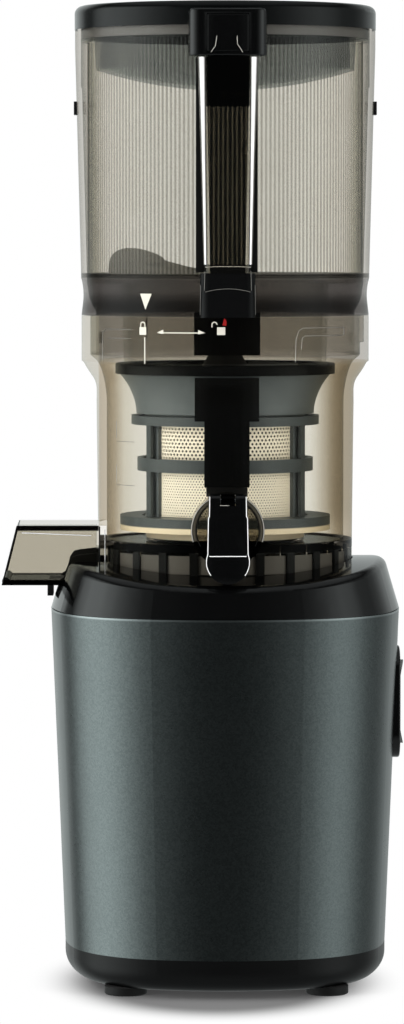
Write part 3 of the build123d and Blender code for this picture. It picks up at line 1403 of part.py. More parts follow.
# ---- front column: clear channel that widens upwards, open at its top
with BuildPart() as column_hollow:
    for level, half in ((column_bottom_z, column_half_bottom), (column_top_z + 1, column_half_top)):
        with BuildSketch(Plane.XY.offset(level)):
            with Locations((0, (column_front_y + column_wall + column_root_y) / 2)):
                Rectangle(2 * (half - column_wall), column_root_y - column_front_y - column_wall)
    loft()
with BuildPart() as front_column:
    for level, half in ((column_bottom_z, column_half_bottom), (column_top_z, column_half_top)):
        with BuildSketch(Plane.XY.offset(level)) as column_section:
            with Locations((0, (column_front_y + column_root_y) / 2)):
                Rectangle(2 * half, column_root_y - column_front_y)
            fillet(column_section.vertices().group_by(Axis.Y)[0], 3.0)
    loft()
    add(column_hollow.part, mode=Mode.SUBTRACT)
    add(hopper_outside.part, mode=Mode.SUBTRACT)
save(front_column, "front_column")

with BuildPart() as interlock_bar:
    with BuildSketch(Plane.XZ.offset(-bar_back_y)):
        with BuildLine():
            Polyline((-bar_half_low, bar_bottom_z), (bar_half_low, bar_bottom_z), (bar_half_top, bar_top_z),
                     (-bar_half_top, bar_top_z), close=True)
        make_face()
    extrude(amount=bar_thick)
save(interlock_bar, "interlock_bar")

# ---- shoe: closes the column's foot and covers the neck's front
with BuildPart() as front_shoe:
    with BuildSketch(Plane.XY.offset(hopper_foot_z)) as shoe_section:
        with Locations((0, (shoe_front_y + shoe_back_y) / 2)):
            Rectangle(2 * shoe_half, shoe_back_y - shoe_front_y)
        fillet(shoe_section.vertices().group_by(Axis.Y)[0], 5.0)
    extrude(amount=column_bottom_z - hopper_foot_z)
    with BuildSketch(Plane.XY.offset(column_bottom_z)):
        with Locations((0, (bar_front_y + bar_back_y) / 2)):
            Rectangle(2 * bar_half_low, bar_back_y - bar_front_y)
    extrude(amount=bar_bottom_z - column_bottom_z)
    add(hopper.part, mode=Mode.SUBTRACT)
    with BuildSketch(Plane.XY.offset(hopper_foot_z)):
        Circle(neck_waist_r - 0.2)
    extrude(amount=column_bottom_z, mode=Mode.SUBTRACT)
save(front_shoe, "front_shoe")

# ---- magnet pad inside the hopper's plug, which the safety bar answers to
with BuildPart() as magnet_pad:
    with BuildSketch(Plane.XY.offset(plug_bottom_z + 1)):
        Circle(plug_r - plug_wall)
        Circle(plug_r - plug_wall - pad_thick, mode=Mode.SUBTRACT)
        with Locations((0, -plug_r)):
            Rectangle(pad_width, 4 * pad_thick + 2 * plug_wall, mode=Mode.INTERSECT)
    extrude(amount=pad_top_z - plug_bottom_z - 1)
    add(hopper.part, mode=Mode.SUBTRACT)
save(magnet_pad, "magnet_pad")

with BuildPart() as side_tabs:
    with BuildSketch(Plane.XY.offset(tab_z - tab_height / 2)):
        with GridLocations(2 * hopper_half(tab_z), 0, 2, 1):
            Rectangle(2 * tab_depth, tab_width)
    extrude(amount=tab_height)
    add(hopper_outside.part, mode=Mode.SUBTRACT)
save(side_tabs, "side_tabs")

# ================================================================ lid
with BuildPart() as lid:
    with BuildSketch(Plane.XY.offset(lid_bottom_z)):
        Circle(lid_r)
    extrude(amount=lid_top_z - lid_bottom_z)
    fillet(lid.edges().group_by(Axis.Z)[-1], lid_round)
    with BuildSketch(Plane.XY.offset(lid_bottom_z)):
        Circle(dome_top_r - dome_wall)
    extrude(amount=lid_top_z - lid_bottom_z - lid_wall, mode=Mode.SUBTRACT)
    with BuildSketch(Plane.YZ.offset(-hinge_knuckle_half)):
        with Locations((hinge_y, hinge_z)):
            Circle(hinge_r)
        with BuildLine():
            Polyline((lid_r - 3, lid_bottom_z), (hinge_y - 3.6, lid_bottom_z), (hinge_y - 3.6, hinge_z),
                     (hinge_y + hinge_r, hinge_z), (hinge_y + hinge_r, hinge_z + 6.5),
                     (hinge_y + hinge_r - 2, hinge_z + 8.5), (lid_r - 3, hinge_z + 8.5), close=True)
        make_face()
    extrude(amount=2 * hinge_knuckle_half)
    with Locations((0, hinge_y, hinge_z)):
        Cylinder(hinge_pin_r + shaft_gap, 4 * hinge_knuckle_half, rotation=(0, 90, 0), mode=Mode.SUBTRACT)
save(lid, "lid")

with BuildPart() as hinge_pin:
    with Locations((0, hinge_y, hinge_z)):
        Cylinder(hinge_pin_r, 2 * (hinge_knuckle_half + slide_gap + hinge_ear), rotation=(0, 90, 0))
save(hinge_pin, "hinge_pin")

bowl_curve_r = (dome_skirt_r ** 2 + (dome_skirt_z - dome_low_z) ** 2) / (2 * (dome_skirt_z - dome_low_z))


def bowl_point(radius, lowest_z):
    """Point of the dome's round underside at a radius."""
    return (radius, lowest_z + bowl_curve_r - sqrt(bowl_curve_r ** 2 - radius ** 2))


# ---- dome: dark cup under the lid that hangs into the hopper
with BuildPart() as lid_dome:
    with BuildSketch(Plane.XZ):
        with BuildLine():
            Polyline((dome_top_r - dome_wall, lid_bottom_z + 2), (dome_top_r - dome_wall, hopper_rim_z - 3),
                     (dome_top_r, hopper_rim_z - 3), (dome_skirt_r, dome_skirt_z))
            ThreePointArc((dome_skirt_r, dome_skirt_z), bowl_point(dome_skirt_r / 2, dome_low_z),
                          (0, dome_low_z))
            Line((0, dome_low_z), (0, dome_low_z + dome_wall))
            ThreePointArc((0, dome_low_z + dome_wall),
                          bowl_point((dome_skirt_r - dome_wall) / 2, dome_low_z + dome_wall),
                          bowl_point(dome_skirt_r - dome_wall, dome_low_z + dome_wall))
            Polyline(bowl_point(dome_skirt_r - dome_wall, dome_low_z + dome_wall),
                     (dome_top_r - 2 * dome_wall, hopper_rim_z - 3),
                     (dome_top_r - 2 * dome_wall, lid_bottom_z + 2),
                     (dome_top_r - dome_wall, lid_bottom_z + 2))
        make_face()
    revolve(axis=Axis.Z)
save(lid_dome, "lid_dome")

with BuildPart() as lid_gasket:
    with BuildSketch(Plane.XY.offset(lid_bottom_z)):
        Circle(dome_top_r + 2.4)
        Circle(dome_top_r - dome_wall, mode=Mode.SUBTRACT)
    extrude(amount=-lid_gasket_h)
save(lid_gasket, "lid_gasket")

# ---- latch: block on the lid's front edge, a sprung button, and a tongue below
with BuildPart() as latch_housing:
    with BuildSketch(Plane.XZ.offset(-latch_back_y)) as latch_face:
        with Locations((0, (latch_bottom_z + latch_top_z) / 2)):
            Rectangle(2 * latch_half, latch_top_z - latch_bottom_z)
        fillet(latch_face.vertices().group_by(Axis.Y)[-1], latch_round)
    extrude(amount=latch_back_y - latch_front_y)
    fillet(latch_housing.edges().group_by(Axis.Y)[0], 1.0)
    with BuildSketch(Plane.XY.offset(lid_bottom_z)):
        with Locations((0, latch_back_y + 4)):
            Rectangle(2 * latch_half, 10)
    extrude(amount=latch_top_z - lid_bottom_z)
    with BuildSketch(Plane.XY.offset(lid_bottom_z)):
        Circle(lid_r)
    extrude(amount=20, mode=Mode.SUBTRACT)
    with BuildSketch(Plane.XZ.offset(-latch_front_y)):
        with Locations((0, button_z)):
            Rectangle(2 * (button_half + slide_gap), button_height + 2 * slide_gap)
    extrude(amount=-(button_depth + button_travel + button_clear), mode=Mode.SUBTRACT)
    with BuildSketch(Plane.XY.offset(latch_bottom_z)):
        with Locations((0, (tongue_front_y + tongue_back_y) / 2)):
            Rectangle(2 * tongue_half, tongue_back_y - tongue_front_y)
    extrude(amount=tongue_bottom_z - latch_bottom_z)
save(latch_housing, "latch_housing")

with BuildPart() as latch_button:
    with BuildSketch(Plane.XZ.offset(-latch_front_y - button_depth)):
        with Locations((0, button_z)):
            Rectangle(2 * button_half, button_height)
    extrude(amount=button_depth)
save(latch_button, "latch_button")

spring_length = button_travel + button_clear
with BuildPart() as latch_spring:
    with Locations((0, latch_front_y + button_depth + spring_length / 2, button_z)):
        Cylinder(latch_spring_r, spring_length, rotation=(90, 0, 0))
        Cylinder(latch_spring_r - latch_spring_wall, spring_length, rotation=(90, 0, 0), mode=Mode.SUBTRACT)
save(latch_spring, "latch_spring")

# ================================================================ spout cap
with BuildPart() as spout_cap:
    with BuildSketch(Plane.XZ.offset(-cap_back_y)):
        with BuildLine():
            Polyline((-cap_half_low, mouth_z), (-cap_half_top, cap_pin_z + cap_knuckle_r),
                     (cap_half_top, cap_pin_z + cap_knuckle_r), (cap_half_low, mouth_z), close=True)
        make_face()
        with Locations((0, mouth_z)):
            Circle(cap_round_r)
    extrude(amount=cap_thick)
    with BuildSketch(Plane.YZ):
        with Locations(((cap_back_y + cap_front_y) / 2, (cap_pin_z + mouth_z - cap_round_r) / 2)):
            Rectangle(cap_thick, cap_pin_z - mouth_z + cap_round_r)
        with Locations((cap_pin_y, cap_pin_z)):
            Circle(cap_knuckle_r)
    extrude(amount=cap_round_r, both=True, mode=Mode.INTERSECT)
    with BuildSketch(Plane.YZ):
        with Locations((cap_pin_y, cap_pin_z)):
            Circle(cap_lug_r + cap_slot_gap)
        with Locations((cap_pin_y + 5, cap_pin_z)):
            Rectangle(10, 2 * (cap_lug_r + cap_slot_gap))
        with Locations((cap_pin_y, cap_pin_z + 5)):
            Rectangle(2 * (cap_lug_r + cap_slot_gap), 10)
    extrude(amount=cap_lug_half + slide_gap, both=True, mode=Mode.SUBTRACT)
    with Locations((0, cap_pin_y, cap_pin_z)):
        Cylinder(cap_pin_r + shaft_gap, 40, rotation=(0, 90, 0), mode=Mode.SUBTRACT)
    with BuildSketch(Plane.XZ.offset(-cap_back_y)):
        with Locations((0, mouth_z)):
            Circle(mouth_r + cap_gasket_over)
    extrude(amount=cap_gasket_height, mode=Mode.SUBTRACT)
save(spout_cap, "spout_cap")

with BuildPart() as cap_gasket:
    with BuildSketch(Plane.XZ.offset(-cap_back_y)):
        with Locations((0, mouth_z)):
            Circle(mouth_r + cap_gasket_over)
    extrude(amount=cap_gasket_height)
save(cap_gasket, "cap_gasket")

with BuildPart() as cap_pin:
    with Locations((0, cap_pin_y, cap_pin_z)):
        Cylinder(cap_pin_r, 2 * cap_half_top - 1, rotation=(0, 90, 0))
save(cap_pin, "cap_pin")
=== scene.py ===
"""Looks of a cold press juicer: finishes for every solid, and the fine pieces that the solids leave out."""
import math

import bmesh
import bpy
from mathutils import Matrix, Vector


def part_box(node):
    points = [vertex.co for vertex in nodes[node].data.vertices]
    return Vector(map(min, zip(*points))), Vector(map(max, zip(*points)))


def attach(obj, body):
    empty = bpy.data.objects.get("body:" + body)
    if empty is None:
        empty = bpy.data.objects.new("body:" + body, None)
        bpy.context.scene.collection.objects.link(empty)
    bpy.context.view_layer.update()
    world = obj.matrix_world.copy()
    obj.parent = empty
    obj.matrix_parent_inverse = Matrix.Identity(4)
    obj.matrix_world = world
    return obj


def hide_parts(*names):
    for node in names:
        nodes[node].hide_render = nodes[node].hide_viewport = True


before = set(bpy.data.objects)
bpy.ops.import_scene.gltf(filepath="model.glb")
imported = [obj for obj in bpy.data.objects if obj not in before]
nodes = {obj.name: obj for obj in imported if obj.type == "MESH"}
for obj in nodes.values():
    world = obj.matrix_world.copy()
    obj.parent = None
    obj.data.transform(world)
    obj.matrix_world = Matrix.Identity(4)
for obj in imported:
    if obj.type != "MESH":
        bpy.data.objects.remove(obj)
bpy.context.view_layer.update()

scene = bpy.context.scene
MM = 0.001


def reach(node, axis, high=True):
    """How far a solid reaches along an axis, 0 for x, 1 for y or 2 for z, in millimetres."""
    return round(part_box(node)[1 if high else 0][axis] / MM, 2)


# Faces and walls of the solids that the fine pieces are set against, in millimetres. Those that a solid's box
# can't give are the part's own sizes.
COLLAR_R = reach("drum", 0)
HOPPER_R = reach("hopper", 0)
LEVER_FACE_Y = reach("spout_cap", 1, high=False)
SHOE_FACE_Y = reach("front_shoe", 1, high=False)
BUTTON_FACE_Y = reach("latch_button", 1, high=False)
LATCH_HALF_X = reach("latch_housing", 0)
BOWL_R = 67.3
NECK_MARK_R = 74.75
SPOUT_Z = 241.7
LEVER_END_Z, LEVER_END_R = 226.1, 10.9
CHUTE_SIDE_Y = 25.9
FLUTES = 192


# ---------------------------------------------------------------- helpers
def colour(code):
    """sRGB hex turned to the linear colour that a socket takes."""
    channels = [int(code[i:i + 2], 16) / 255 for i in (1, 3, 5)]
    return tuple(c / 12.92 if c <= 0.04045 else ((c + 0.055) / 1.055) ** 2.4 for c in channels) + (1.0,)


def per_mm(size):
    """Texture scale whose features are about this many millimetres across."""
    return 1.0 / (size * MM)


def add(tree, kind, inputs=None, out=0, **settings):
    """Adds one node with its settings and links, and gives back one of its outputs, or all where out is None.
    A kind without Node in it is a shader node. An input is a constant, the socket that feeds it, or a list of
    sockets where it takes several."""
    node = tree.nodes.new(kind if "Node" in kind else "ShaderNode" + kind)
    for name, value in settings.items():
        setattr(node, name, value)
    for name, value in (inputs or {}).items():
        if isinstance(value, (bpy.types.NodeSocket, list)):
            for source in value if isinstance(value, list) else [value]:
                tree.links.new(source, node.inputs[name])
        else:
            node.inputs[name].default_value = value
    return node.outputs if out is None or len(node.outputs) == 0 else node.outputs[out]


def stops(shade, marks):
    """Sets the marks of the colour ramp that gives this shade, as (position, linear colour)."""
    elements = shade.node.color_ramp.elements
    while len(elements) > 1:
        elements.remove(elements[-1])
    elements[0].position, elements[0].color = marks[0]
    for position, tone in marks[1:]:
        elements.new(position).color = tone
    return shade


def blank(name):
    """An empty material, its node tree, and the object coordinates that its patterns read."""
    material = bpy.data.materials.new(name)
    material.use_nodes = True
    tree = material.node_tree
    tree.nodes.clear()
    place = add(tree, "TexCoord", out="Object")
    return material, tree, place


def inside(tree, place, limits, soft=0.3):
    """1 inside a block given as (axis, low, high) in millimetres for each axis that matters, else 0."""
    axes = add(tree, "SeparateXYZ", {"Vector": place}, None)
    share = 1.0
    for axis, low, high in limits:
        above = add(tree, "MapRange", {
            "Value": axes[axis], "From Min": (low - soft) * MM, "From Max": (low + soft) * MM})
        below = add(tree, "MapRange", {
            "Value": axes[axis], "From Min": (high + soft) * MM, "From Max": (high - soft) * MM})
        within = add(tree, "Math", {0: above, 1: below}, operation="MULTIPLY")
        share = add(tree, "Math", {0: within, 1: share}, operation="MULTIPLY")
    return share


def clear_wall(tree, tint, gloss, share, **skin):
    """Ends a material as a clear wall: what lies behind it shows tinted, under a skin that mirrors a share."""
    through = add(tree, "BsdfTransparent", {"Color": tint})
    mirror = add(tree, "BsdfPrincipled", {
        "Base Color": (1, 1, 1, 1), "Metallic": 1.0, "Roughness": gloss, **skin})
    both = add(tree, "MixShader", {0: share, 1: through, 2: mirror})
    add(tree, "OutputMaterial", {"Surface": both})


# ---------------------------------------------------------------- finishes
def metallic_spray_paint():
    """Two-coat metallic spray on the drawn steel sleeve: the eye gets a dark green-grey that turns light where
    it mirrors a bright side, tiny flakes, a faint orange peel, sides that bulge a little, and a paler line,
    a painted highlight, where the sleeve's edge is bent over. Flakes are 0.1 mm, drawn at 0.7 mm to show."""
    material, tree, place = blank("metallic_spray_paint")
    flakes = add(tree, "TexVoronoi", {"Vector": place, "Scale": per_mm(0.7)}, "Color")
    flake = add(tree, "SeparateColor", {"Color": flakes})
    coat = add(tree, "Mix", {0: flake, 6: colour("#606767"), 7: colour("#6f7676")}, 2, data_type="RGBA")
    # The band along the sleeve's top is painted paler, as a painted highlight.
    painted_top_highlight = inside(tree, place, [("Z", 195.5, 210.0)])
    coat = add(tree, "Mix", {0: painted_top_highlight, 6: coat, 7: colour("#9fa7a7")}, 2, data_type="RGBA")
    cloud = add(tree, "TexNoise", {"Vector": place, "Scale": per_mm(30.0), "Detail": 3.0})
    uneven = add(tree, "MapRange", {"Value": cloud, "To Min": -0.03, "To Max": 0.03})
    rough = add(tree, "MapRange", {"Value": flake, "To Min": 0.28, "To Max": 0.33})
    rough = add(tree, "Math", {0: rough, 1: uneven}, operation="ADD")
    peel = add(tree, "TexNoise", {"Vector": place, "Scale": per_mm(2.2), "Detail": 1.0})
    facing = add(tree, "Bump", {"Height": peel, "Distance": 0.012 * MM})
    bulge = add(tree, "VectorMath", {0: place, 1: (4.5, 4.5, 0.0)}, operation="MULTIPLY")
    facing = add(tree, "VectorMath", {0: facing, 1: bulge}, operation="ADD")
    facing = add(tree, "VectorMath", {0: facing}, operation="NORMALIZE")
    shader = add(tree, "BsdfPrincipled", {
        "Base Color": coat, "Metallic": 1.0, "Roughness": rough, "Normal": facing,
        "Coat Weight": 0.12, "Coat Roughness": 0.2})
    add(tree, "OutputMaterial", {"Surface": shader})
    return material


def gloss_abs(name, code, low=0.06, high=0.12, index=1.54):
    """ABS moulded against a polished steel: near-mirror gloss with the slow ripple of sink marks 18 mm long,
    and faint haze where hands touch it."""
    material, tree, place = blank(name)
    haze = add(tree, "TexNoise", {"Vector": place, "Scale": per_mm(12.0), "Detail": 4.0, "Roughness": 0.6})
    rough = add(tree, "MapRange", {"Value": haze, "To Min": low, "To Max": high})
    dust = add(tree, "TexNoise", {"Vector": place, "Scale": per_mm(0.9)})
    dust = add(tree, "MapRange", {"Value": dust, "To Min": 0.0, "To Max": 0.12})
    tone = add(tree, "Mix", {0: dust, 6: colour(code), 7: colour("#17181a")}, 2, data_type="RGBA")
    sink = add(tree, "TexNoise", {"Vector": place, "Scale": per_mm(18.0), "Detail": 1.0})
    ripple = add(tree, "Bump", {"Height": sink, "Distance": 0.05 * MM})
    shader = add(tree, "BsdfPrincipled", {
        "Base Color": tone, "Roughness": rough, "IOR": index, "Normal": ripple})
    add(tree, "OutputMaterial", {"Surface": shader})
    return material


def satin_abs(name, code, low=0.30, high=0.42, index=1.54):
    """ABS from a fine spark-eroded mould: a soft sheen broken by a 0.25 mm grain, drawn at 0.6 mm."""
    material, tree, place = blank(name)
    eroded = add(tree, "TexNoise", {"Vector": place, "Scale": per_mm(0.6), "Detail": 3.0, "Roughness": 0.7})
    pale = add(tree, "MapRange", {"Value": eroded, "To Min": 0.0, "To Max": 0.3})
    tone = add(tree, "Mix", {0: pale, 6: colour(code), 7: colour("#1e1f20")}, 2, data_type="RGBA")
    cloud = add(tree, "TexNoise", {"Vector": place, "Scale": per_mm(16.0)})
    rough = add(tree, "MapRange", {"Value": cloud, "To Min": low, "To Max": high})
    pits = add(tree, "Bump", {"Height": eroded, "Distance": 0.02 * MM})
    shader = add(tree, "BsdfPrincipled", {
        "Base Color": tone, "Roughness": rough, "IOR": index, "Normal": pits})
    add(tree, "OutputMaterial", {"Surface": shader})
    return material


def smoked_copolyester(name, tints, gloss=0.06, mirror=0.012, zones=()):
    """Clear copolyester with a warm smoke dye: you look through it, it darkens where the wall turns away from
    the eye because more plastic lies in the way, and its skin mirrors its surroundings, most at the rims. Flow
    lines are faint. tints are (how far the wall turns away, from 0 to 1; tint of one skin); each zone is a
    block with the tint it has instead and how softly it begins in millimetres, and the zones so marked are
    painted shade."""
    material, tree, place = blank(name)
    turned = add(tree, "LayerWeight", {"Blend": 0.5}, "Facing")
    tint = stops(add(tree, "ValToRGB", {"Fac": turned}), [(at, colour(code)) for at, code in tints])
    flow = add(tree, "TexNoise", {"Vector": place, "Scale": per_mm(22.0)})
    flow = add(tree, "MapRange", {"Value": flow, "To Min": 0.0, "To Max": 0.05})
    tint = add(tree, "Mix", {0: flow, 6: tint, 7: colour("#d8d4cb")}, 2, data_type="RGBA")
    for limits, dark, *soft in zones:
        # Each zone's block, whose tint in the zones so marked is painted shade.
        thick = inside(tree, place, limits, *soft)
        tint = add(tree, "Mix", {0: thick, 6: tint, 7: colour(dark)}, 2, data_type="RGBA")
    wave = add(tree, "TexNoise", {"Vector": place, "Scale": per_mm(14.0), "Detail": 1.0})
    ripple = add(tree, "Bump", {"Height": wave, "Distance": 0.03 * MM})
    rim = add(tree, "Math", {0: turned, 1: 6.0}, operation="POWER")
    share = add(tree, "MapRange", {"Value": rim, "To Min": mirror, "To Max": 0.5})
    clear_wall(tree, tint, gloss, share, Normal=ripple)
    return material


def fluted_copolyester():
    """Clear copolyester of the liner's outside, moulded in upright flutes: their grooves are painted darker
    than their crests as painted shade, most on the front half, and each flute catches its own thin glint."""
    material, tree, place = blank("fluted_copolyester")
    axes = add(tree, "SeparateXYZ", {"Vector": place}, None)
    turn = add(tree, "Math", {0: axes["Y"], 1: axes["X"]}, operation="ARCTAN2")
    turn = add(tree, "Math", {0: turn, 1: float(FLUTES)}, operation="MULTIPLY")
    wave = add(tree, "Math", {0: turn}, operation="COSINE")
    # The grooves' darker tint is painted shade, strongest on the front half and fading towards the back.
    groove_shade = add(tree, "MapRange", {"Value": wave, "From Min": 0.7, "From Max": -0.7})
    front_weight = add(tree, "MapRange", {
        "Value": axes["Y"], "From Min": -0.05, "From Max": 0.03, "To Min": 1.0, "To Max": 0.12})
    share = add(tree, "Math", {0: groove_shade, 1: front_weight}, operation="MULTIPLY")
    tint = add(tree, "Mix", {0: share, 6: colour("#f7f6f4"), 7: colour("#c4c2bc")}, 2, data_type="RGBA")
    cloud = add(tree, "TexNoise", {"Vector": place, "Scale": per_mm(6.0)})
    rough = add(tree, "MapRange", {"Value": cloud, "To Min": 0.14, "To Max": 0.22})
    clear_wall(tree, tint, rough, 0.02)
    return material


def ribbed_polycarbonate():
    """Polycarbonate of the sliding bar behind the column: deep smoke, with upright ribs 2.35 mm apart that let
    more light by."""
    material, tree, place = blank("ribbed_polycarbonate")
    across = add(tree, "SeparateXYZ", {"Vector": place}, "X")
    turn = add(tree, "Math", {0: across, 1: math.tau * per_mm(2.35)}, operation="MULTIPLY")
    wave = add(tree, "Math", {0: turn}, operation="COSINE")
    rib = add(tree, "MapRange", {"Value": wave, "From Min": -0.2, "From Max": 1.0})
    cloud = add(tree, "TexNoise", {"Vector": place, "Scale": per_mm(7.0)})
    uneven = add(tree, "MapRange", {"Value": cloud, "To Min": 0.0, "To Max": 0.25})
    share = add(tree, "Math", {0: rib, 1: uneven}, operation="SUBTRACT")
    tint = add(tree, "Mix", {0: share, 6: colour("#5f5d58"), 7: colour("#a19d94")}, 2, data_type="RGBA")
    clear_wall(tree, tint, 0.1, 0.012)
    return material


def painted_highlight_finish(name, bright, dim):
    """A painted highlight laid on the rim of a clear or gloss moulding as a bright line: palest where it faces
    the eye, darker where it turns away."""
    material, tree, place = blank(name)
    cloud = add(tree, "TexNoise", {"Vector": place, "Scale": per_mm(5.0)})
    uneven = add(tree, "MapRange", {"Value": cloud, "To Min": 0.0, "To Max": 0.2})
    tone = add(tree, "Mix", {0: uneven, 6: colour(bright), 7: colour(dim)}, 2, data_type="RGBA")
    turned = add(tree, "LayerWeight", {"Blend": 0.5}, "Facing")
    away = add(tree, "MapRange", {"Value": turned, "From Min": 0.0, "From Max": 0.4})
    tone = add(tree, "Mix", {0: away, 6: tone, 7: colour(dim)}, 2, data_type="RGBA")
    shader = add(tree, "BsdfPrincipled", {
        "Base Color": tone, "Roughness": 0.25, "IOR": 1.5, "Coat Weight": 0.5, "Coat Roughness": 0.05})
    add(tree, "OutputMaterial", {"Surface": shader})
    return material


def grey_acetal(name, dark, light):
    """Acetal copolymer, moulded blue-grey: an even waxy satin with fine flow streaks. Its toothed ring at the
    foot is left in the resin's own cream."""
    material, tree, place = blank(name)
    upright = add(tree, "Mapping", {"Vector": place, "Scale": (1.0, 1.0, 0.15)})
    flow = add(tree, "TexNoise", {"Vector": upright, "Scale": per_mm(4.0), "Detail": 4.0, "Roughness": 0.6})
    tone = add(tree, "Mix", {0: flow, 6: colour(dark), 7: colour(light)}, 2, data_type="RGBA")
    toothed_ring = inside(tree, place, [("Z", 230.0, 240.2)])
    tone = add(tree, "Mix", {0: toothed_ring, 6: tone, 7: colour("#e6d9bd")}, 2, data_type="RGBA")
    fine = add(tree, "TexNoise", {"Vector": place, "Scale": per_mm(0.7)})
    rough = add(tree, "MapRange", {"Value": fine, "To Min": 0.32, "To Max": 0.44})
    pits = add(tree, "Bump", {"Height": fine, "Distance": 0.01 * MM})
    shader = add(tree, "BsdfPrincipled", {
        "Base Color": tone, "Roughness": rough, "IOR": 1.48, "Normal": pits})
    add(tree, "OutputMaterial", {"Surface": shader})
    return material


def dark_polyetherimide():
    """Glass-filled engineering plastic of the screw: charcoal, with 1.5 mm fibre swirls and a dry satin."""
    material, tree, place = blank("dark_polyetherimide")
    swirl = add(tree, "TexNoise", {"Vector": place, "Scale": per_mm(1.5), "Detail": 3.0, "Distortion": 1.5})
    tone = add(tree, "Mix", {0: swirl, 6: colour("#141415"), 7: colour("#232425")}, 2, data_type="RGBA")
    rough = add(tree, "MapRange", {"Value": swirl, "To Min": 0.34, "To Max": 0.5})
    fibres = add(tree, "Bump", {"Height": swirl, "Distance": 0.015 * MM})
    shader = add(tree, "BsdfPrincipled", {
        "Base Color": tone, "Roughness": rough, "IOR": 1.6, "Normal": fibres})
    add(tree, "OutputMaterial", {"Surface": shader})
    return material


def cream_sieve():
    """Thin perforated sieve wall, cream: its colour is painted paler, near white, as painted light, so that it
    looks bright behind the bowl.
    """
    material, tree, place = blank("cream_sieve")
    fine = add(tree, "TexNoise", {"Vector": place, "Scale": per_mm(1.1), "Detail": 3.0})
    tone = add(tree, "Mix", {0: fine, 6: colour("#fff9e8"), 7: colour("#f7f0dc")}, 2, data_type="RGBA")
    rough = add(tree, "MapRange", {"Value": fine, "To Min": 0.35, "To Max": 0.5})
    pits = add(tree, "Bump", {"Height": fine, "Distance": 0.01 * MM})
    shader = add(tree, "BsdfPrincipled", {
        "Base Color": tone, "Roughness": rough, "IOR": 1.5, "Normal": pits})
    add(tree, "OutputMaterial", {"Surface": shader})
    return material


def silicone_rubber(name, code):
    """Compression-moulded silicone: dull and slightly dusty, so that it catches a broad soft highlight."""
    material, tree, place = blank(name)
    dust = add(tree, "TexNoise", {"Vector": place, "Scale": per_mm(0.8), "Detail": 4.0, "Roughness": 0.7})
    pale = add(tree, "MapRange", {"Value": dust, "To Min": 0.0, "To Max": 0.25})
    tone = add(tree, "Mix", {0: pale, 6: colour(code), 7: colour("#2a2a2a")}, 2, data_type="RGBA")
    rough = add(tree, "MapRange", {"Value": dust, "To Min": 0.55, "To Max": 0.7})
    pits = add(tree, "Bump", {"Height": dust, "Distance": 0.02 * MM})
    shader = add(tree, "BsdfPrincipled", {
        "Base Color": tone, "Roughness": rough, "IOR": 1.40, "Sheen Weight": 0.04, "Sheen Roughness": 0.5,
        "Normal": pits})
    add(tree, "OutputMaterial", {"Surface": shader})
    return material


def plain_metal(name, light, dark, low, high, streak=(1.0, 1.0, 0.05), size=0.6):
    """Bare or plated metal, ground or drawn: fine parallel marks along one way, brighter on their crests."""
    material, tree, place = blank(name)
    drawn = add(tree, "Mapping", {"Vector": place, "Scale": streak})
    marks = add(tree, "TexNoise", {"Vector": drawn, "Scale": per_mm(size), "Detail": 3.0, "Roughness": 0.6})
    tone = add(tree, "Mix", {0: marks, 6: colour(dark), 7: colour(light)}, 2, data_type="RGBA")
    rough = add(tree, "MapRange", {"Value": marks, "To Min": low, "To Max": high})
    scratches = add(tree, "Bump", {"Height": marks, "Distance": 0.008 * MM})
    shader = add(tree, "BsdfPrincipled", {
        "Base Color": tone, "Metallic": 1.0, "Roughness": rough, "Normal": scratches})
    add(tree, "OutputMaterial", {"Surface": shader})
    return material


def enamelled_copper():
    """Round enamelled wire wound side by side: amber gloss with a line about every 0.8 mm."""
    material, tree, place = blank("enamelled_copper")
    turns = add(tree, "TexWave", {
        "Vector": place, "Scale": 0.155 * per_mm(0.8), "Distortion": 0.4, "Detail": 1.0}, "Fac",
        bands_direction="Z")
    tone = add(tree, "Mix", {0: turns, 6: colour("#6e3517"), 7: colour("#c8783c")}, 2, data_type="RGBA")
    wires = add(tree, "Bump", {"Height": turns, "Distance": 0.2 * MM})
    shader = add(tree, "BsdfPrincipled", {
        "Base Color": tone, "Metallic": 0.8, "Roughness": 0.28, "Coat Weight": 0.5, "Coat Roughness": 0.1,
        "Normal": wires})
    add(tree, "OutputMaterial", {"Surface": shader})
    return material


def natural_acetal():
    """Unfilled acetal for gears: milky off-white with a waxy sheen."""
    material, tree, place = blank("natural_acetal")
    cloud = add(tree, "TexNoise", {"Vector": place, "Scale": per_mm(5.0), "Detail": 3.0})
    tone = add(tree, "Mix", {0: cloud, 6: colour("#e3e0d3"), 7: colour("#f0ede2")}, 2, data_type="RGBA")
    rough = add(tree, "MapRange", {"Value": cloud, "To Min": 0.3, "To Max": 0.42})
    shader = add(tree, "BsdfPrincipled", {"Base Color": tone, "Roughness": rough, "IOR": 1.48})
    add(tree, "OutputMaterial", {"Surface": shader})
    return material


def die_cast_alloy():
    """Die-cast zinc-aluminium: matt grey skin with 2 mm mottles and a cold-flow texture."""
    material, tree, place = blank("die_cast_alloy")
    mottle = add(tree, "TexNoise", {"Vector": place, "Scale": per_mm(2.0), "Detail": 5.0, "Roughness": 0.65})
    tone = add(tree, "Mix", {0: mottle, 6: colour("#8a8c8e"), 7: colour("#a8aaac")}, 2, data_type="RGBA")
    rough = add(tree, "MapRange", {"Value": mottle, "To Min": 0.45, "To Max": 0.62})
    folds = add(tree, "Bump", {"Height": mottle, "Distance": 0.05 * MM})
    shader = add(tree, "BsdfPrincipled", {
        "Base Color": tone, "Metallic": 0.9, "Roughness": rough, "Normal": folds})
    add(tree, "OutputMaterial", {"Surface": shader})
    return material


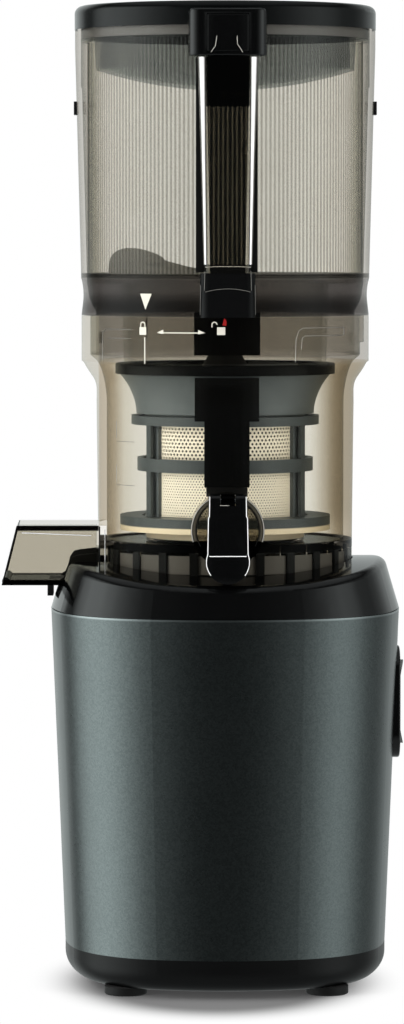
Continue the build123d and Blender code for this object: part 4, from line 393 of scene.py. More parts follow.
def solder_mask():
    """Green solder mask over copper: tracks 1.6 mm wide show as slightly lighter bands."""
    material, tree, place = blank("solder_mask")
    tracks = add(tree, "TexBrick", {
        "Vector": place, "Color1": colour("#0f4a26"), "Color2": colour("#125a2e"), "Mortar": colour("#1d7a42"),
        "Scale": per_mm(8.0), "Mortar Size": 0.1}, None)
    relief = add(tree, "Bump", {"Height": tracks["Fac"], "Distance": 0.03 * MM})
    shader = add(tree, "BsdfPrincipled", {
        "Base Color": tracks["Color"], "Roughness": 0.32, "Coat Weight": 0.4, "Normal": relief})
    add(tree, "OutputMaterial", {"Surface": shader})
    return material


def printed_ink(name, code, worn):
    """Pad-printed ink, 0.05 mm thick: flat and opaque, with a cover that thins unevenly to its worn colour."""
    material, tree, place = blank(name)
    cover = add(tree, "TexNoise", {"Vector": place, "Scale": per_mm(0.5)})
    thin = add(tree, "MapRange", {"Value": cover, "To Min": 0.0, "To Max": 0.5})
    tone = add(tree, "Mix", {0: thin, 6: colour(code), 7: colour(worn)}, 2, data_type="RGBA")
    shader = add(tree, "BsdfPrincipled", {"Base Color": tone, "Roughness": 0.55})
    add(tree, "OutputMaterial", {"Surface": shader})
    return material


# Outside: paint, black mouldings and the rocker.
paint = metallic_spray_paint()
gloss_black = gloss_abs("gloss_black_abs", "#020202")
lever_black = gloss_abs("lever_black_abs", "#010101", 0.03, 0.07)
lid_black = gloss_abs("lid_abs", "#040505", 0.10, 0.16, 1.34)
satin_black = satin_abs("satin_black_abs", "#060607")
shoe_black = satin_abs("shoe_black_abs", "#020202", 0.2, 0.3, 1.22)
pan_black = satin_abs("pan_black_abs", "#030303", 0.3, 0.4, 1.3)
rocker_grey = satin_abs("rocker_grey_abs", "#626564", 0.2, 0.3)

# Clear parts. The liner's flutes are a skin of their own.
hopper_clear = smoked_copolyester(
    "hopper_copolyester",
    [(0.0, "#fbfbfa"), (0.45, "#f9f8f7"), (0.6, "#efeeeb"), (0.93, "#cdcac5"), (1.0, "#e2e0dc")],
    zones=[
        ([("Z", 349.6, 368.8)], "#bdbbb9"),  # neck above the collar
        ([("Z", 349.9, 356.5)], "#83817f", 5.0),  # its lower half, painted darker above the collar's edge as painted shade
        ([("Z", 330.0, 349.5)], "#f4f3f1"),  # foot inside the collar
        ([("Z", 368.9, 371.3)], "#a3a19d"),  # edge of the floor
        ([("X", 76.0, 110.0), ("Z", 372.0, 500.0)], "#c4c2bd", 6.0)])  # right edge, painted darker as painted shade
liner_clear = smoked_copolyester("liner_copolyester", [(0.0, "#fcfcfb"), (0.88, "#fbfbf9"), (1.0, "#a9a69f")],
                                 0.1, 0.006)
flute_clear = fluted_copolyester()
chute = ("X", -118.0, -66.0)
chute_near_side = ("Y", -28.0, -25.4)
beside_chute = ("X", -66.0, 70.0)
spout = [("X", -19.5, 19.5), ("Y", -90.0, -68.0)]
drum_clear = smoked_copolyester(
    "bowl_copolyester",
    [(0.0, "#f9f8f5"), (0.30, "#f5f4f0"), (0.48, "#f0eee8"), (0.62, "#e0dacf"), (0.9, "#d2cabb"),
     (1.0, "#e6e2d9")], mirror=0.004,
    zones=[
        ([("X", 57.0, 90.0), ("Z", 236.0, 330.0)], "#c9c2b4", 11.0),  # right side, painted darker as painted shade
        ([("Z", 325.7, 349.4)], "#dcdad6"),  # collar
        ([("Z", 200.0, 228.6), beside_chute], "#dad8d2"),  # skirt
        ([("Z", 228.6, 232.6), beside_chute], "#3f3c37"),  # edge of the floor
        ([chute], "#e8e6e0"),  # the chute
        ([chute, ("Z", 240.3, 242.0)], "#fafaf9"),  # its top
        ([chute, chute_near_side, ("Z", 237.9, 241.0)], "#0c0b0a"),  # its near edge
        ([chute, ("Z", 209.0, 212.3)], "#141311"),  # its lip
        (spout + [("Z", 236.0, 262.0)], "#bab7af"),  # the spout
        (spout + [("Z", 220.0, 236.0)], "#1c1b19"),  # its underside, painted near black as painted shade
        ([("X", -3.8, 3.8), ("Y", -94.0, -86.8), ("Z", 252.0, 261.5)], "#060606")])  # the cap's lug
column_clear = smoked_copolyester(
    "column_copolyester", [(0.0, "#f4f2ee"), (1.0, "#d8d4cb")], 0.05, 0.03,
    zones=[([("X", -10.9, 10.9), ("Z", 456.0, 490.0)], "#3a352d")])  # head, behind the latch
dome_dark = smoked_copolyester("dome_polycarbonate", [(0.0, "#d5d7d7"), (1.0, "#d1d3d4")], 0.1, 0.012)
floor_dark = smoked_copolyester("floor_polycarbonate", [(0.0, "#f6f5f3"), (1.0, "#f0efec")], 0.12, 0.01)
bar_dark = ribbed_polycarbonate()

# Painted highlights: bright lines laid on edges, and dark edge lines, some of which are painted shade.
painted_highlight_bright = painted_highlight_finish("painted_highlight_bright", "#ffffff", "#3f3c38")
painted_highlight_grey = painted_highlight_finish("painted_highlight_grey", "#b4b2aa", "#55534e")
painted_highlight_faint = painted_highlight_finish("painted_highlight_faint", "#62615d", "#2a2926")
painted_light_ring = painted_highlight_finish("painted_light_ring", "#a5a29a", "#3d3b38")
dark_edge_and_shade = satin_abs("dark_edge_and_shade", "#080807", 0.3, 0.4, 1.3)

# Grey parts in and under the bowl and the lid, the screw and the sieve.
grey_cage = grey_acetal("grey_acetal", "#3c4244", "#474f52")
grey_funnel = grey_acetal("pale_grey_acetal", "#545b5e", "#5f676a")
wing_grey = satin_abs("wing_grey", "#8a8881")
window_grey = satin_abs("window_grey", "#615e58")
rim_grey = satin_abs("rim_grey", "#55534f")
dark_screw = dark_polyetherimide()
sieve_cream = cream_sieve()

# Seals and feet.
black_silicone = silicone_rubber("black_silicone", "#080808")
grey_silicone = silicone_rubber("grey_silicone", "#8b877e")

# The drive, inside the body.
ground_steel = plain_metal("ground_steel", "#9a9c9e", "#7e8082", 0.28, 0.42)
zinc_plate = plain_metal("zinc_plate", "#c4c6c8", "#a9abad", 0.2, 0.34, (1.0, 1.0, 1.0), 0.9)
copper = enamelled_copper()
gear_white = natural_acetal()
cast_grey = die_cast_alloy()
board_green = solder_mask()

# Print.
white_ink = printed_ink("white_ink", "#cfccbf", "#b4b1a4")
red_ink = printed_ink("red_ink", "#a50806", "#7d0a08")

node_finish = [
    (paint, "body_shell"),
    (gloss_black, "top_cover rocker_bezel safety_bar"),
    (lever_black, "latch_housing latch_button spout_cap"),
    (lid_black, "lid"),
    (satin_black, "magnet_pad side_tabs"),
    (shoe_black, "strainer_gasket front_shoe"),
    (pan_black, "base_pan"),
    (rocker_grey, "rocker_switch"),
    (drum_clear, "drum"),
    (hopper_clear, "hopper"),
    (liner_clear, "hopper_liner"),
    (column_clear, "front_column"),
    (bar_dark, "interlock_bar"),
    (dome_dark, "lid_dome"),
    (floor_dark, "feed_floor"),
    (grey_funnel, "strainer_frame"),
    (grey_cage, "wiper_cage"),
    (wing_grey, "cutting_wing"),
    (sieve_cream, "strainer_mesh"),
    (dark_screw, "juicing_screw switch_body cooling_fan capacitor"),
    (black_silicone, "rubber_feet cord_grommet centre_seal pulp_plug wiper_blades cap_gasket"),
    (grey_silicone, "lid_gasket"),
    (gear_white, "compound_gear output_gear idler_gear"),
    (cast_grey, "gearbox_case gearbox_cover"),
    (ground_steel, "motor_can motor_stator motor_rotor"),
    (zinc_plate, "pan_screws gearbox_screws motor_shaft motor_bearings countershaft output_shaft "
                 "output_bearing rocker_pin hinge_pin cap_pin latch_spring"),
    (copper, "motor_windings"),
    (board_green, "control_board")]
for finish, node_names in node_finish:
    for node_name in node_names.split():
        for material_slot in nodes[node_name].material_slots:
            material_slot.material = finish


# ---------------------------------------------------------------- pieces
def piece(name, mesh, body, material=None):
    """Puts a finished mesh in the scene as a piece that rides on a body."""
    made = bpy.data.objects.new(name, mesh)
    scene.collection.objects.link(made)
    if material:
        mesh.materials.clear()
        mesh.materials.append(material)
    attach(made, body)
    return made


def meshed(name, work, crease=None):
    """Turns worked geometry into a mesh, shaded smooth up to this angle in degrees where one is given."""
    mesh = bpy.data.meshes.new(name)
    work.to_mesh(mesh)
    work.free()
    if crease is not None:
        mesh.shade_smooth()
        mesh.set_sharp_from_angle(angle=math.radians(crease))
    return mesh


def softened(name, node, width_mm, body, material, segments=2):
    """A moulding with its sharp edges rounded, in place of the solid that has them square."""
    sharp_turn = math.radians(35.0)
    work = bmesh.new()
    work.from_mesh(nodes[node].data)
    bmesh.ops.remove_doubles(work, verts=work.verts, dist=0.002 * MM)
    bmesh.ops.dissolve_limit(work, angle_limit=math.radians(1.0), verts=work.verts, edges=work.edges)
    sharp = [e for e in work.edges if len(e.link_faces) == 2 and e.calc_face_angle() > sharp_turn]
    bmesh.ops.bevel(work, geom=sharp, offset=width_mm * MM, segments=segments, profile=0.5, affect="EDGES",
                    clamp_overlap=True)
    bmesh.ops.triangulate(work, faces=[f for f in work.faces if len(f.verts) > 4])
    made = piece(name, meshed(name, work, 32.0), body, material)
    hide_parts(node)
    return made


def repeat_tree(name, inputs):
    """A Geometry Nodes tree with named inputs, given as (name, socket kind), their sockets inside the tree,
    and the identifiers that a modifier knows them by."""
    tree = bpy.data.node_groups.new(name, "GeometryNodeTree")
    tree.is_modifier = True
    identifiers = {}
    for label, kind in inputs:
        identifiers[label] = tree.interface.new_socket(label, in_out="INPUT", socket_type=kind).identifier
    tree.interface.new_socket("Geometry", in_out="OUTPUT", socket_type="NodeSocketGeometry")
    return tree, add(tree, "NodeGroupInput", out=None), identifiers


def plain_mesh(name, carrier):
    """The plain mesh that a carrier's curve or modifiers make. The carrier goes."""
    ready = carrier.evaluated_get(bpy.context.evaluated_depsgraph_get())
    mesh = bpy.data.meshes.new_from_object(ready)
    bpy.data.objects.remove(carrier)
    mesh.name = name
    return mesh


def grown(name, tree, identifiers, sizes):
    """The plain mesh that a Geometry Nodes tree makes from these sizes."""
    carrier = bpy.data.objects.new(name + "_carrier", bpy.data.meshes.new(name + "_carrier"))
    scene.collection.objects.link(carrier)
    modifier = carrier.modifiers.new("grow", "NODES")
    modifier.node_group = tree
    for label, value in sizes.items():
        modifier[identifiers[label]] = value
    return plain_mesh(name, carrier)


def wrapped(tree, radius, angle, height):
    """The point at this angle and height on a cylinder round the drive axis."""
    cosine = add(tree, "Math", {0: angle}, operation="COSINE")
    sine = add(tree, "Math", {0: angle}, operation="SINE")
    x = add(tree, "Math", {0: radius, 1: cosine}, operation="MULTIPLY")
    y = add(tree, "Math", {0: radius, 1: sine}, operation="MULTIPLY")
    return add(tree, "CombineXYZ", {"X": x, "Y": y, "Z": height})


def liner_flutes():
    """Fine upright flutes moulded round the outside of the hopper's liner, as one wavy skin: a grid with six
    columns to each flute, bent round the liner."""
    tree, given, identifiers = repeat_tree("flutes", [
        ("Count", "NodeSocketInt"), ("Radius", "NodeSocketFloat"), ("Depth", "NodeSocketFloat"),
        ("Low", "NodeSocketFloat"), ("High", "NodeSocketFloat"), ("Material", "NodeSocketMaterial")])
    columns = add(tree, "Math", {0: given["Count"], 1: 6.0}, operation="MULTIPLY")
    columns = add(tree, "Math", {0: columns, 1: 1.0}, operation="ADD")
    sheet = add(tree, "GeometryNodeMeshGrid", {
        "Size X": 1.0, "Size Y": 1.0, "Vertices X": columns, "Vertices Y": 3})
    spot = add(tree, "GeometryNodeInputPosition")
    flat = add(tree, "SeparateXYZ", {"Vector": spot}, None)
    angle = add(tree, "Math", {0: flat["X"], 1: math.tau}, operation="MULTIPLY")
    wave = add(tree, "Math", {0: angle, 1: given["Count"]}, operation="MULTIPLY")
    wave = add(tree, "Math", {0: wave}, operation="COSINE")
    wave = add(tree, "Math", {0: wave, 1: given["Depth"]}, operation="MULTIPLY")
    radius = add(tree, "Math", {0: given["Radius"], 1: wave}, operation="ADD")
    share = add(tree, "Math", {0: flat["Y"], 1: 0.5}, operation="ADD")
    rise = add(tree, "Math", {0: given["High"], 1: given["Low"]}, operation="SUBTRACT")
    rise = add(tree, "Math", {0: share, 1: rise}, operation="MULTIPLY")
    height = add(tree, "Math", {0: given["Low"], 1: rise}, operation="ADD")
    bent = add(tree, "GeometryNodeSetPosition", {
        "Geometry": sheet, "Position": wrapped(tree, radius, angle, height)})
    smooth = add(tree, "GeometryNodeSetShadeSmooth", {"Geometry": bent})
    done = add(tree, "GeometryNodeSetMaterial", {"Geometry": smooth, "Material": given["Material"]})
    add(tree, "NodeGroupOutput", {0: done})
    mesh = grown("liner_flutes", tree, identifiers, {
        "Count": FLUTES, "Radius": 71.75 * MM, "Depth": 0.22 * MM, "Low": 371.5 * MM, "High": 491.6 * MM,
        "Material": flute_clear})
    return piece("liner_flutes", mesh, "hopper_unit")


def sieve_band(name, low, high, pitch, hole, sides):
    """A band of the sieve: a thin wall of staggered round holes, made of six-sided cells with one hole each."""
    tree, given, identifiers = repeat_tree(name, [
        ("Radius", "NodeSocketFloat"), ("Low", "NodeSocketFloat"), ("High", "NodeSocketFloat"),
        ("Pitch", "NodeSocketFloat"), ("Hole", "NodeSocketFloat"), ("Wall", "NodeSocketFloat"),
        ("Material", "NodeSocketMaterial")])
    girth = add(tree, "Math", {0: given["Radius"], 1: math.tau}, operation="MULTIPLY")
    around = add(tree, "Math", {0: girth, 1: given["Pitch"]}, operation="DIVIDE")
    around = add(tree, "Math", {0: around}, operation="ROUND")
    rise = add(tree, "Math", {0: given["Pitch"], 1: math.sqrt(0.75)}, operation="MULTIPLY")
    rows = add(tree, "Math", {0: given["High"], 1: given["Low"]}, operation="SUBTRACT")
    rows = add(tree, "Math", {0: rows, 1: rise}, operation="DIVIDE")
    rows = add(tree, "Math", {0: rows}, operation="ROUND")
    holes = add(tree, "Math", {0: around, 1: rows}, operation="MULTIPLY")
    points = add(tree, "GeometryNodePoints", {"Count": holes})

    index = add(tree, "GeometryNodeInputIndex")
    column = add(tree, "Math", {0: index, 1: around}, operation="MODULO")
    row = add(tree, "Math", {0: index, 1: around}, operation="DIVIDE")
    row = add(tree, "Math", {0: row}, operation="FLOOR")
    shift = add(tree, "Math", {0: row, 1: 2.0}, operation="MODULO")
    shift = add(tree, "Math", {0: shift, 1: 0.5}, operation="MULTIPLY")
    column = add(tree, "Math", {0: column, 1: shift}, operation="ADD")
    step = add(tree, "Math", {0: math.tau, 1: around}, operation="DIVIDE")
    angle = add(tree, "Math", {0: column, 1: step}, operation="MULTIPLY")
    height = add(tree, "Math", {0: row, 1: 0.5}, operation="ADD")
    height = add(tree, "Math", {0: height, 1: rise}, operation="MULTIPLY")
    height = add(tree, "Math", {0: given["Low"], 1: height}, operation="ADD")
    placed = add(tree, "GeometryNodeSetPosition", {
        "Geometry": points, "Position": wrapped(tree, given["Radius"], angle, height)})
    outwards = add(tree, "Math", {0: angle, 1: math.pi / 2}, operation="ADD")
    turn = add(tree, "CombineXYZ", {"X": math.pi / 2, "Z": outwards})

    corner = add(tree, "Math", {0: given["Pitch"], 1: math.sqrt(3.0) * 0.985}, operation="DIVIDE")
    edge = add(tree, "GeometryNodeCurvePrimitiveCircle", {"Resolution": 6, "Radius": corner})
    edge = add(tree, "GeometryNodeTransform", {"Geometry": edge, "Rotation": (0.0, 0.0, math.radians(30.0))})
    bore_r = add(tree, "Math", {0: given["Hole"], 1: 0.5}, operation="MULTIPLY")
    bore = add(tree, "GeometryNodeCurvePrimitiveCircle", {"Resolution": sides, "Radius": bore_r})
    both = add(tree, "GeometryNodeJoinGeometry", {0: [edge, bore]})
    flat = add(tree, "GeometryNodeFillCurve", {"Curve": both})
    cell = add(tree, "GeometryNodeExtrudeMesh", {
        "Mesh": flat, "Offset Scale": given["Wall"], "Individual": False})
    cells = add(tree, "GeometryNodeInstanceOnPoints", {"Points": placed, "Instance": cell, "Rotation": turn})
    real = add(tree, "GeometryNodeRealizeInstances", {0: cells})
    done = add(tree, "GeometryNodeSetMaterial", {"Geometry": real, "Material": given["Material"]})
    add(tree, "NodeGroupOutput", {0: done})
    mesh = grown(name, tree, identifiers, {
        "Radius": 39.5 * MM, "Low": low * MM, "High": high * MM, "Pitch": pitch * MM, "Hole": hole * MM,
        "Wall": 0.5 * MM, "Material": sieve_cream})
    made = piece(name, mesh, "base")
    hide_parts("strainer_mesh")
    return made


def printed(name, shapes, radius, body, material):
    """Ink printed on a round wall: flat outlines, in millimetres along the wall and up, laid on it."""
    work = bmesh.new()
    for outline in shapes:
        corners = [work.verts.new((u * MM, 0.0, z * MM)) for u, z in outline]
        work.faces.new(corners)
    bmesh.ops.triangulate(work, faces=work.faces[:])
    # Long edges are split, so that they follow the wall's curve.
    long_edges = [e for e in work.edges if abs(e.verts[0].co.x - e.verts[1].co.x) > 3.0 * MM]
    if long_edges:
        bmesh.ops.subdivide_edges(work, edges=long_edges, cuts=8, use_grid_fill=False)
    bmesh.ops.recalc_face_normals(work, faces=work.faces[:])
    if work.faces[:][0].normal.y > 0:
        bmesh.ops.reverse_faces(work, faces=work.faces[:])
    for vert in work.verts:
        turn = vert.co.x / (radius * MM)
        vert.co = Vector((math.sin(turn) * radius * MM, -math.cos(turn) * radius * MM, vert.co.z))
    return piece(name, meshed(name, work), body, material)


def strip(points, width):
    """Outline of a line of this width through the points, with mitred corners."""
    left, right = [], []
    for i, (x, z) in enumerate(points):
        before = Vector(points[max(i - 1, 0)])
        after = Vector(points[min(i + 1, len(points) - 1)])
        along = (after - before).normalized()
        side = Vector((-along.y, along.x)) * width / 2
        left.append((x + side.x, z + side.y))
        right.append((x - side.x, z - side.y))
    return left + right[::-1]


def arc(cx, cz, radius, start, end, steps=10):
    """Points on an arc, in degrees."""
    turns = [math.radians(start + (end - start) * i / steps) for i in range(steps + 1)]
    return [(cx + radius * math.cos(turn), cz + radius * math.sin(turn)) for turn in turns]


def padlock(cx, low, lean):
    """A padlock sign 4 mm wide: its body and its shackle, which stands aside when lean is not zero."""
    body = [(cx - 2.1, low), (cx + 2.1, low), (cx + 2.1, low + 3.9), (cx - 2.1, low + 3.9)]
    shackle = [(cx - 1.3 + lean, low + 3.9)] + arc(cx + lean, low + 5.2, 1.3, 180, 0)
    if not lean:
        shackle.append((cx + 1.3, low + 3.9))
    return [body, strip(shackle, 0.55)]


def collar_signs():
    """Printed signs on the bowl's collar: shut, turn either way, open, and the line that the mark meets."""
    sign_r = COLLAR_R + 0.12
    shut = padlock(-45.8, 340.4, 0.0)
    line = [[(-44.9, 325.6), (-44.3, 325.6), (-44.3, 339.2), (-44.9, 339.2)]]
    shaft = [[(-34.5, 341.3), (-14.0, 341.3), (-14.0, 341.85), (-34.5, 341.85)]]
    heads = [[(-37.3, 341.6), (-33.7, 340.9), (-33.7, 343.2)],
             [(-11.4, 341.6), (-15.0, 343.2), (-15.0, 340.9)]]
    way_open = padlock(-3.2, 340.6, -3.4)
    printed("collar_signs", shut + line + shaft + heads + way_open, sign_r, "base", white_ink)
    red = [[(-2.6, 345.6), (-0.6, 345.2), (-0.4, 347.6), (-1.6, 349.2)]]
    printed("open_mark", red, sign_r, "base", red_ink)
    mark = [[(-47.5, 361.4), (-44.2, 353.2), (-40.4, 361.4)]]
    printed("hopper_mark", mark, NECK_MARK_R, "hopper_unit", white_ink)


def bead(name, paths, radius_mm, body, material):
    """A thin round bead along each path, given as points in millimetres."""
    curve = bpy.data.curves.new(name, "CURVE")
    curve.dimensions = "3D"
    curve.bevel_depth = radius_mm * MM
    curve.bevel_resolution = 3
    curve.use_fill_caps = True
    for path in paths:
        line = curve.splines.new("POLY")
        line.points.add(len(path) - 1)
        for point, (x, y, z) in zip(line.points, path):
            point.co = (x * MM, y * MM, z * MM, 1.0)
    carrier = bpy.data.objects.new(name + "_carrier", curve)
    scene.collection.objects.link(carrier)
    mesh = plain_mesh(name, carrier)
    bpy.data.curves.remove(curve)
    mesh.shade_smooth()
    return piece(name, mesh, body, material)


def on_wall(radius, degrees, z):
    """A point on a round wall, by its angle from the front, positive to the right."""
    turn = math.radians(degrees)
    return (radius * math.sin(turn), -radius * math.cos(turn), z)


def round_wall(radius, start, end, z, steps=12):
    """Points along a level line on a round wall."""
    return [on_wall(radius, start + (end - start) * i / steps, z) for i in range(steps + 1)]


def block(name, outline, front_y, back_y, body, material):
    """A flat moulding: an outline in x and z, given depth in y, with its long edges rounded a little."""
    work = bmesh.new()
    near = [work.verts.new((x * MM, front_y * MM, z * MM)) for x, z in outline]
    face = work.faces.new(near)
    grown_side = bmesh.ops.extrude_face_region(work, geom=[face])
    moved = [v for v in grown_side["geom"] if isinstance(v, bmesh.types.BMVert)]
    bmesh.ops.translate(work, verts=moved, vec=(0.0, (back_y - front_y) * MM, 0.0))
    bmesh.ops.recalc_face_normals(work, faces=work.faces[:])
    bmesh.ops.bevel(work, geom=work.edges[:], offset=0.15 * MM, segments=2, profile=0.5, affect="EDGES",
                    clamp_overlap=True)
    return piece(name, meshed(name, work, 40.0), body, material)


def skinned(work, rings):
    """Closes a row of equal rings of corners into a solid, with faces between them and one at each end."""
    for below, above in zip(rings, rings[1:]):
        for i in range(len(below)):
            j = (i + 1) % len(below)
            work.faces.new((below[i], below[j], above[j], above[i]))
    work.faces.new(rings[0][::-1])
    work.faces.new(rings[-1])


def column_edges():
    """The column's two long edges as painted highlights, bright lines that swell towards the top, and dark
    strips of painted shade outside them."""
    middle_y, half_y = -88.9, 2.2
    for side, label, reach in ((-1, "left", 16.1), (1, "right", 15.2)):
        work = bmesh.new()
        rings = []
        for z, x, half_x in ((376.4, 11.4, 0.95), (430.0, 12.3, 1.4), (480.8, 13.2, 2.1)):
            rings.append([work.verts.new(((side * x + half_x * math.cos(math.radians(a))) * MM,
                                          (middle_y + half_y * math.sin(math.radians(a))) * MM, z * MM))
                          for a in range(0, 360, 20)])
        skinned(work, rings)
        bmesh.ops.recalc_face_normals(work, faces=work.faces[:])
        edge = label + "_column_highlight"
        piece(edge, meshed(edge, work, 50.0), "hopper_unit", painted_highlight_bright)
        # Dark strips outside the edges, painted shade where the column meets the hopper's wall.
        shade_strip = [(side * 10.7, 372.4), (side * reach, 372.4), (side * reach, 481.0), (side * 14.4, 481.0)]
        block(label + "_column_shade", shade_strip, -80.4, -78.0, "hopper_unit", dark_edge_and_shade)


def shoe_lines():
    """Painted highlights of the shoe at the column's foot, as bright lines: its top edge, its flanks and the
    arch of its recess.
    """
    front = SHOE_FACE_Y - 0.25
    corner = SHOE_FACE_Y - 0.1
    top = [[(-11.6, corner, 375.1), (-6.0, front, 375.4), (6.0, front, 375.4), (11.6, corner, 375.1)]]
    bead("shoe_top_line", top, 0.22, "hopper_unit", painted_highlight_grey)
    arch = [(x, front, 362.6 + 1.6 * (1 - (x / 11.4) ** 2))
            for x in (-11.4, -8.5, -5.7, -2.8, 0, 2.8, 5.7, 8.5, 11.4)]
    flanks = [[(side * 13.75, -87.6, 366.0), (side * 13.95, -86.2, 351.0)] for side in (-1, 1)]
    inner = [[(side * 11.6, SHOE_FACE_Y, 373.2), (side * 11.9, SHOE_FACE_Y + 0.1, 363.4)] for side in (-1, 1)]
    bead("shoe_arch_line", [arch] + flanks + inner, 0.2, "hopper_unit", painted_highlight_faint)


def lever_lines():
    """Painted highlights on the edges of the spout's lever: white lines against its black face."""
    front = LEVER_FACE_Y + 0.2

    def round_end(start, end):
        return [(x, front, z) for x, z in arc(0.0, LEVER_END_Z, LEVER_END_R, start, end)]

    sides = [[(side * 9.2, front, 259.4), (side * 9.35, front, 249.2), (side * 9.9, front, 248.4),
              (side * 10.2, front, 229.7)] for side in (-1, 1)]
    across = [[(-9.4, front, 229.1), (9.4, front, 229.1)]]
    bead("lever_side_lines", sides + across, 0.32, "cap", painted_highlight_bright)
    bead("lever_round_lines", [round_end(158, 218), round_end(-38, 22)], 0.3, "cap", painted_highlight_bright)
    dashes = [[(2.6, front, 248.6), (7.4, front, 248.6)], [(-5.2, front, 254.8), (0.6, front, 254.8)]]
    bead("lever_foot_line", [round_end(238, 298)] + dashes, 0.2, "cap", painted_highlight_grey)


def spout_rings():
    """The clear spout's front, seen end on: a painted highlight on the rim, painted shade at the edge of the
    bore, and a grey ring of painted light for the wall between.
    """
    def ring(radius, y, start, end):
        return [(x, y, z) for x, z in arc(0.0, SPOUT_Z, radius, start, end, (end - start) // 6)]

    bead("spout_rim", [ring(18.35, -86.4, -18, 198)], 0.34, "base", painted_highlight_grey)
    bead("spout_bore", [ring(15.9, -86.3, -30, 210)], 0.3, "base", dark_edge_and_shade)
    bead("spout_wall", [ring(17.15, -84.9, -18, 198)], 1.3, "base", painted_light_ring)


def bar_foot():
    """The black bar's foot, which reaches down to the spout's mouth."""
    block("bar_foot", [(-10.6, 257.5), (10.6, 257.5), (10.6, 262.8), (-10.6, 262.8)], -60.9, -58.4, "base",
          satin_black)


def latch_block():
    """The latch's housing with its upright front corners rounded, in place of the solid with square ones."""
    work = bmesh.new()
    work.from_mesh(nodes["latch_housing"].data)
    bmesh.ops.remove_doubles(work, verts=work.verts, dist=0.002 * MM)
    corner, half, face_y = 6.0, LATCH_HALF_X, -84.0
    for i in range(0, 7):  # cuts where the corner's arc turns
        for side in (-1, 1):
            x = side * (half - corner + corner * math.sin(math.radians(90.0 * i / 7)))
            bmesh.ops.bisect_plane(work, geom=work.verts[:] + work.edges[:] + work.faces[:],
                                   plane_co=(x * MM, 0.0, 0.0), plane_no=(1.0, 0.0, 0.0), dist=0.001 * MM)
    for vert in work.verts:  # the front goes back along the arc
        over = abs(vert.co.x) / MM - (half - corner)
        if over > 0 and vert.co.y < face_y * MM:
            vert.co.y += (corner - math.sqrt(max(corner ** 2 - min(over, corner) ** 2, 0.0))) * MM * 0.98
    made = piece("latch_block", meshed("latch_block", work, 30.0), "lid_unit", lever_black)
    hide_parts("latch_housing")
    front = BUTTON_FACE_Y - 0.05
    # Two grey lines on the button's face are painted highlights.
    glints = [[(-5.6, front, 491.4), (-6.4, front, 486.3), (-8.6, front, 483.2)],
              [(4.6, front, 491.4), (4.7, front, 487.4), (7.4, front, 483.2)]]
    return bead("latch_glints", glints, 0.2, "latch", painted_highlight_grey)


def sectors(name, parts, body, material):
    """Walls that run round the drive axis: (start, end, inner radius, outer radius, low, high) of each one."""
    work = bmesh.new()
    for start, end, near, far, low, high in parts:
        steps = max(6, round(abs(end - start) / 3.0))
        corners = []
        for i in range(steps + 1):
            turn = start + (end - start) * i / steps
            corners.append([work.verts.new(tuple(c * MM for c in on_wall(r, turn, z)))
                            for r, z in ((near, low), (far, low), (far, high), (near, high))])
        skinned(work, corners)
    bmesh.ops.recalc_face_normals(work, faces=work.faces[:])
    return piece(name, meshed(name, work, 40.0), body, material)


def skirt_fins():
    """Fins and grey windows of the skirt under the bowl's floor, every 15 degrees, left out over the chute."""
    fins, windows = [], []
    for i in range(24):
        middle = 15.0 * i
        if 250.0 < middle < 290.0:
            continue
        start, end = middle + 1.9, middle + 13.1
        fins.append((middle - 1.9, start, 65.3, 66.2, 209.8, 228.4))
        windows.append((start, end, 64.2, 64.6, 217.6, 227.0))
        fins.append((start, end, 64.2, 66.2, 209.8, 217.6))
    sectors("skirt_fins", fins, "base", dark_edge_and_shade)
    sectors("skirt_windows", windows, "base", window_grey)


def lid_rim():
    """The lid's thin skirt, which just laps over the hopper's edge, and the grey ring that stands inside it."""
    skirt = [(side * 14.8, side * 100.0, HOPPER_R + 0.06, HOPPER_R + 0.19, 497.7, 499.95) for side in (-1, 1)]
    sectors("lid_skirt", skirt, "lid_unit", lid_black)
    sectors("lid_ring", [(0.0, 359.0, 74.1, 74.9, 493.0, 499.92)], "lid_unit", rim_grey)


def chute_details():
    """The pulp chute's dark rim, lip and side seams, and the plug's wings that stand inside it."""
    side_y = -CHUTE_SIDE_Y - 0.2
    rim = [[(-108.4, side * CHUTE_SIDE_Y, 240.3), (-116.1, side * CHUTE_SIDE_Y, 209.9)] for side in (-1, 1)]
    seam = [[(-65.6, side_y, 213.0), (-65.6, side_y, 240.2)]]
    bead("chute_rim", rim + seam, 0.38, "base", dark_edge_and_shade)
    lip = [[(-114.25, -25.8, 211.7), (-114.25, 25.8, 211.7)]]
    bead("chute_lip", lip, 2.1, "base", dark_edge_and_shade)
    # Pale lines along the chute's near side and by its seam are painted highlights.
    pale = [[(-106.0, side_y, 236.9), (-70.0, side_y, 235.4)], [(-62.8, side_y, 214.0), (-62.8, side_y, 238.5)]]
    bead("chute_highlight_lines", pale, 0.24, "base", painted_highlight_bright)
    wing = [(-86.6, 212.2), (-84.2, 213.6), (-82.8, 217.0), (-81.6, 221.6), (-79.6, 224.4), (-76.4, 225.2),
            (-66.4, 226.3), (-66.4, 212.2)]
    for side, name in ((-1, "plug_wing_near"), (1, "plug_wing_far")):
        block(name, wing, side * 23.3, side * 22.3, "base", black_silicone)


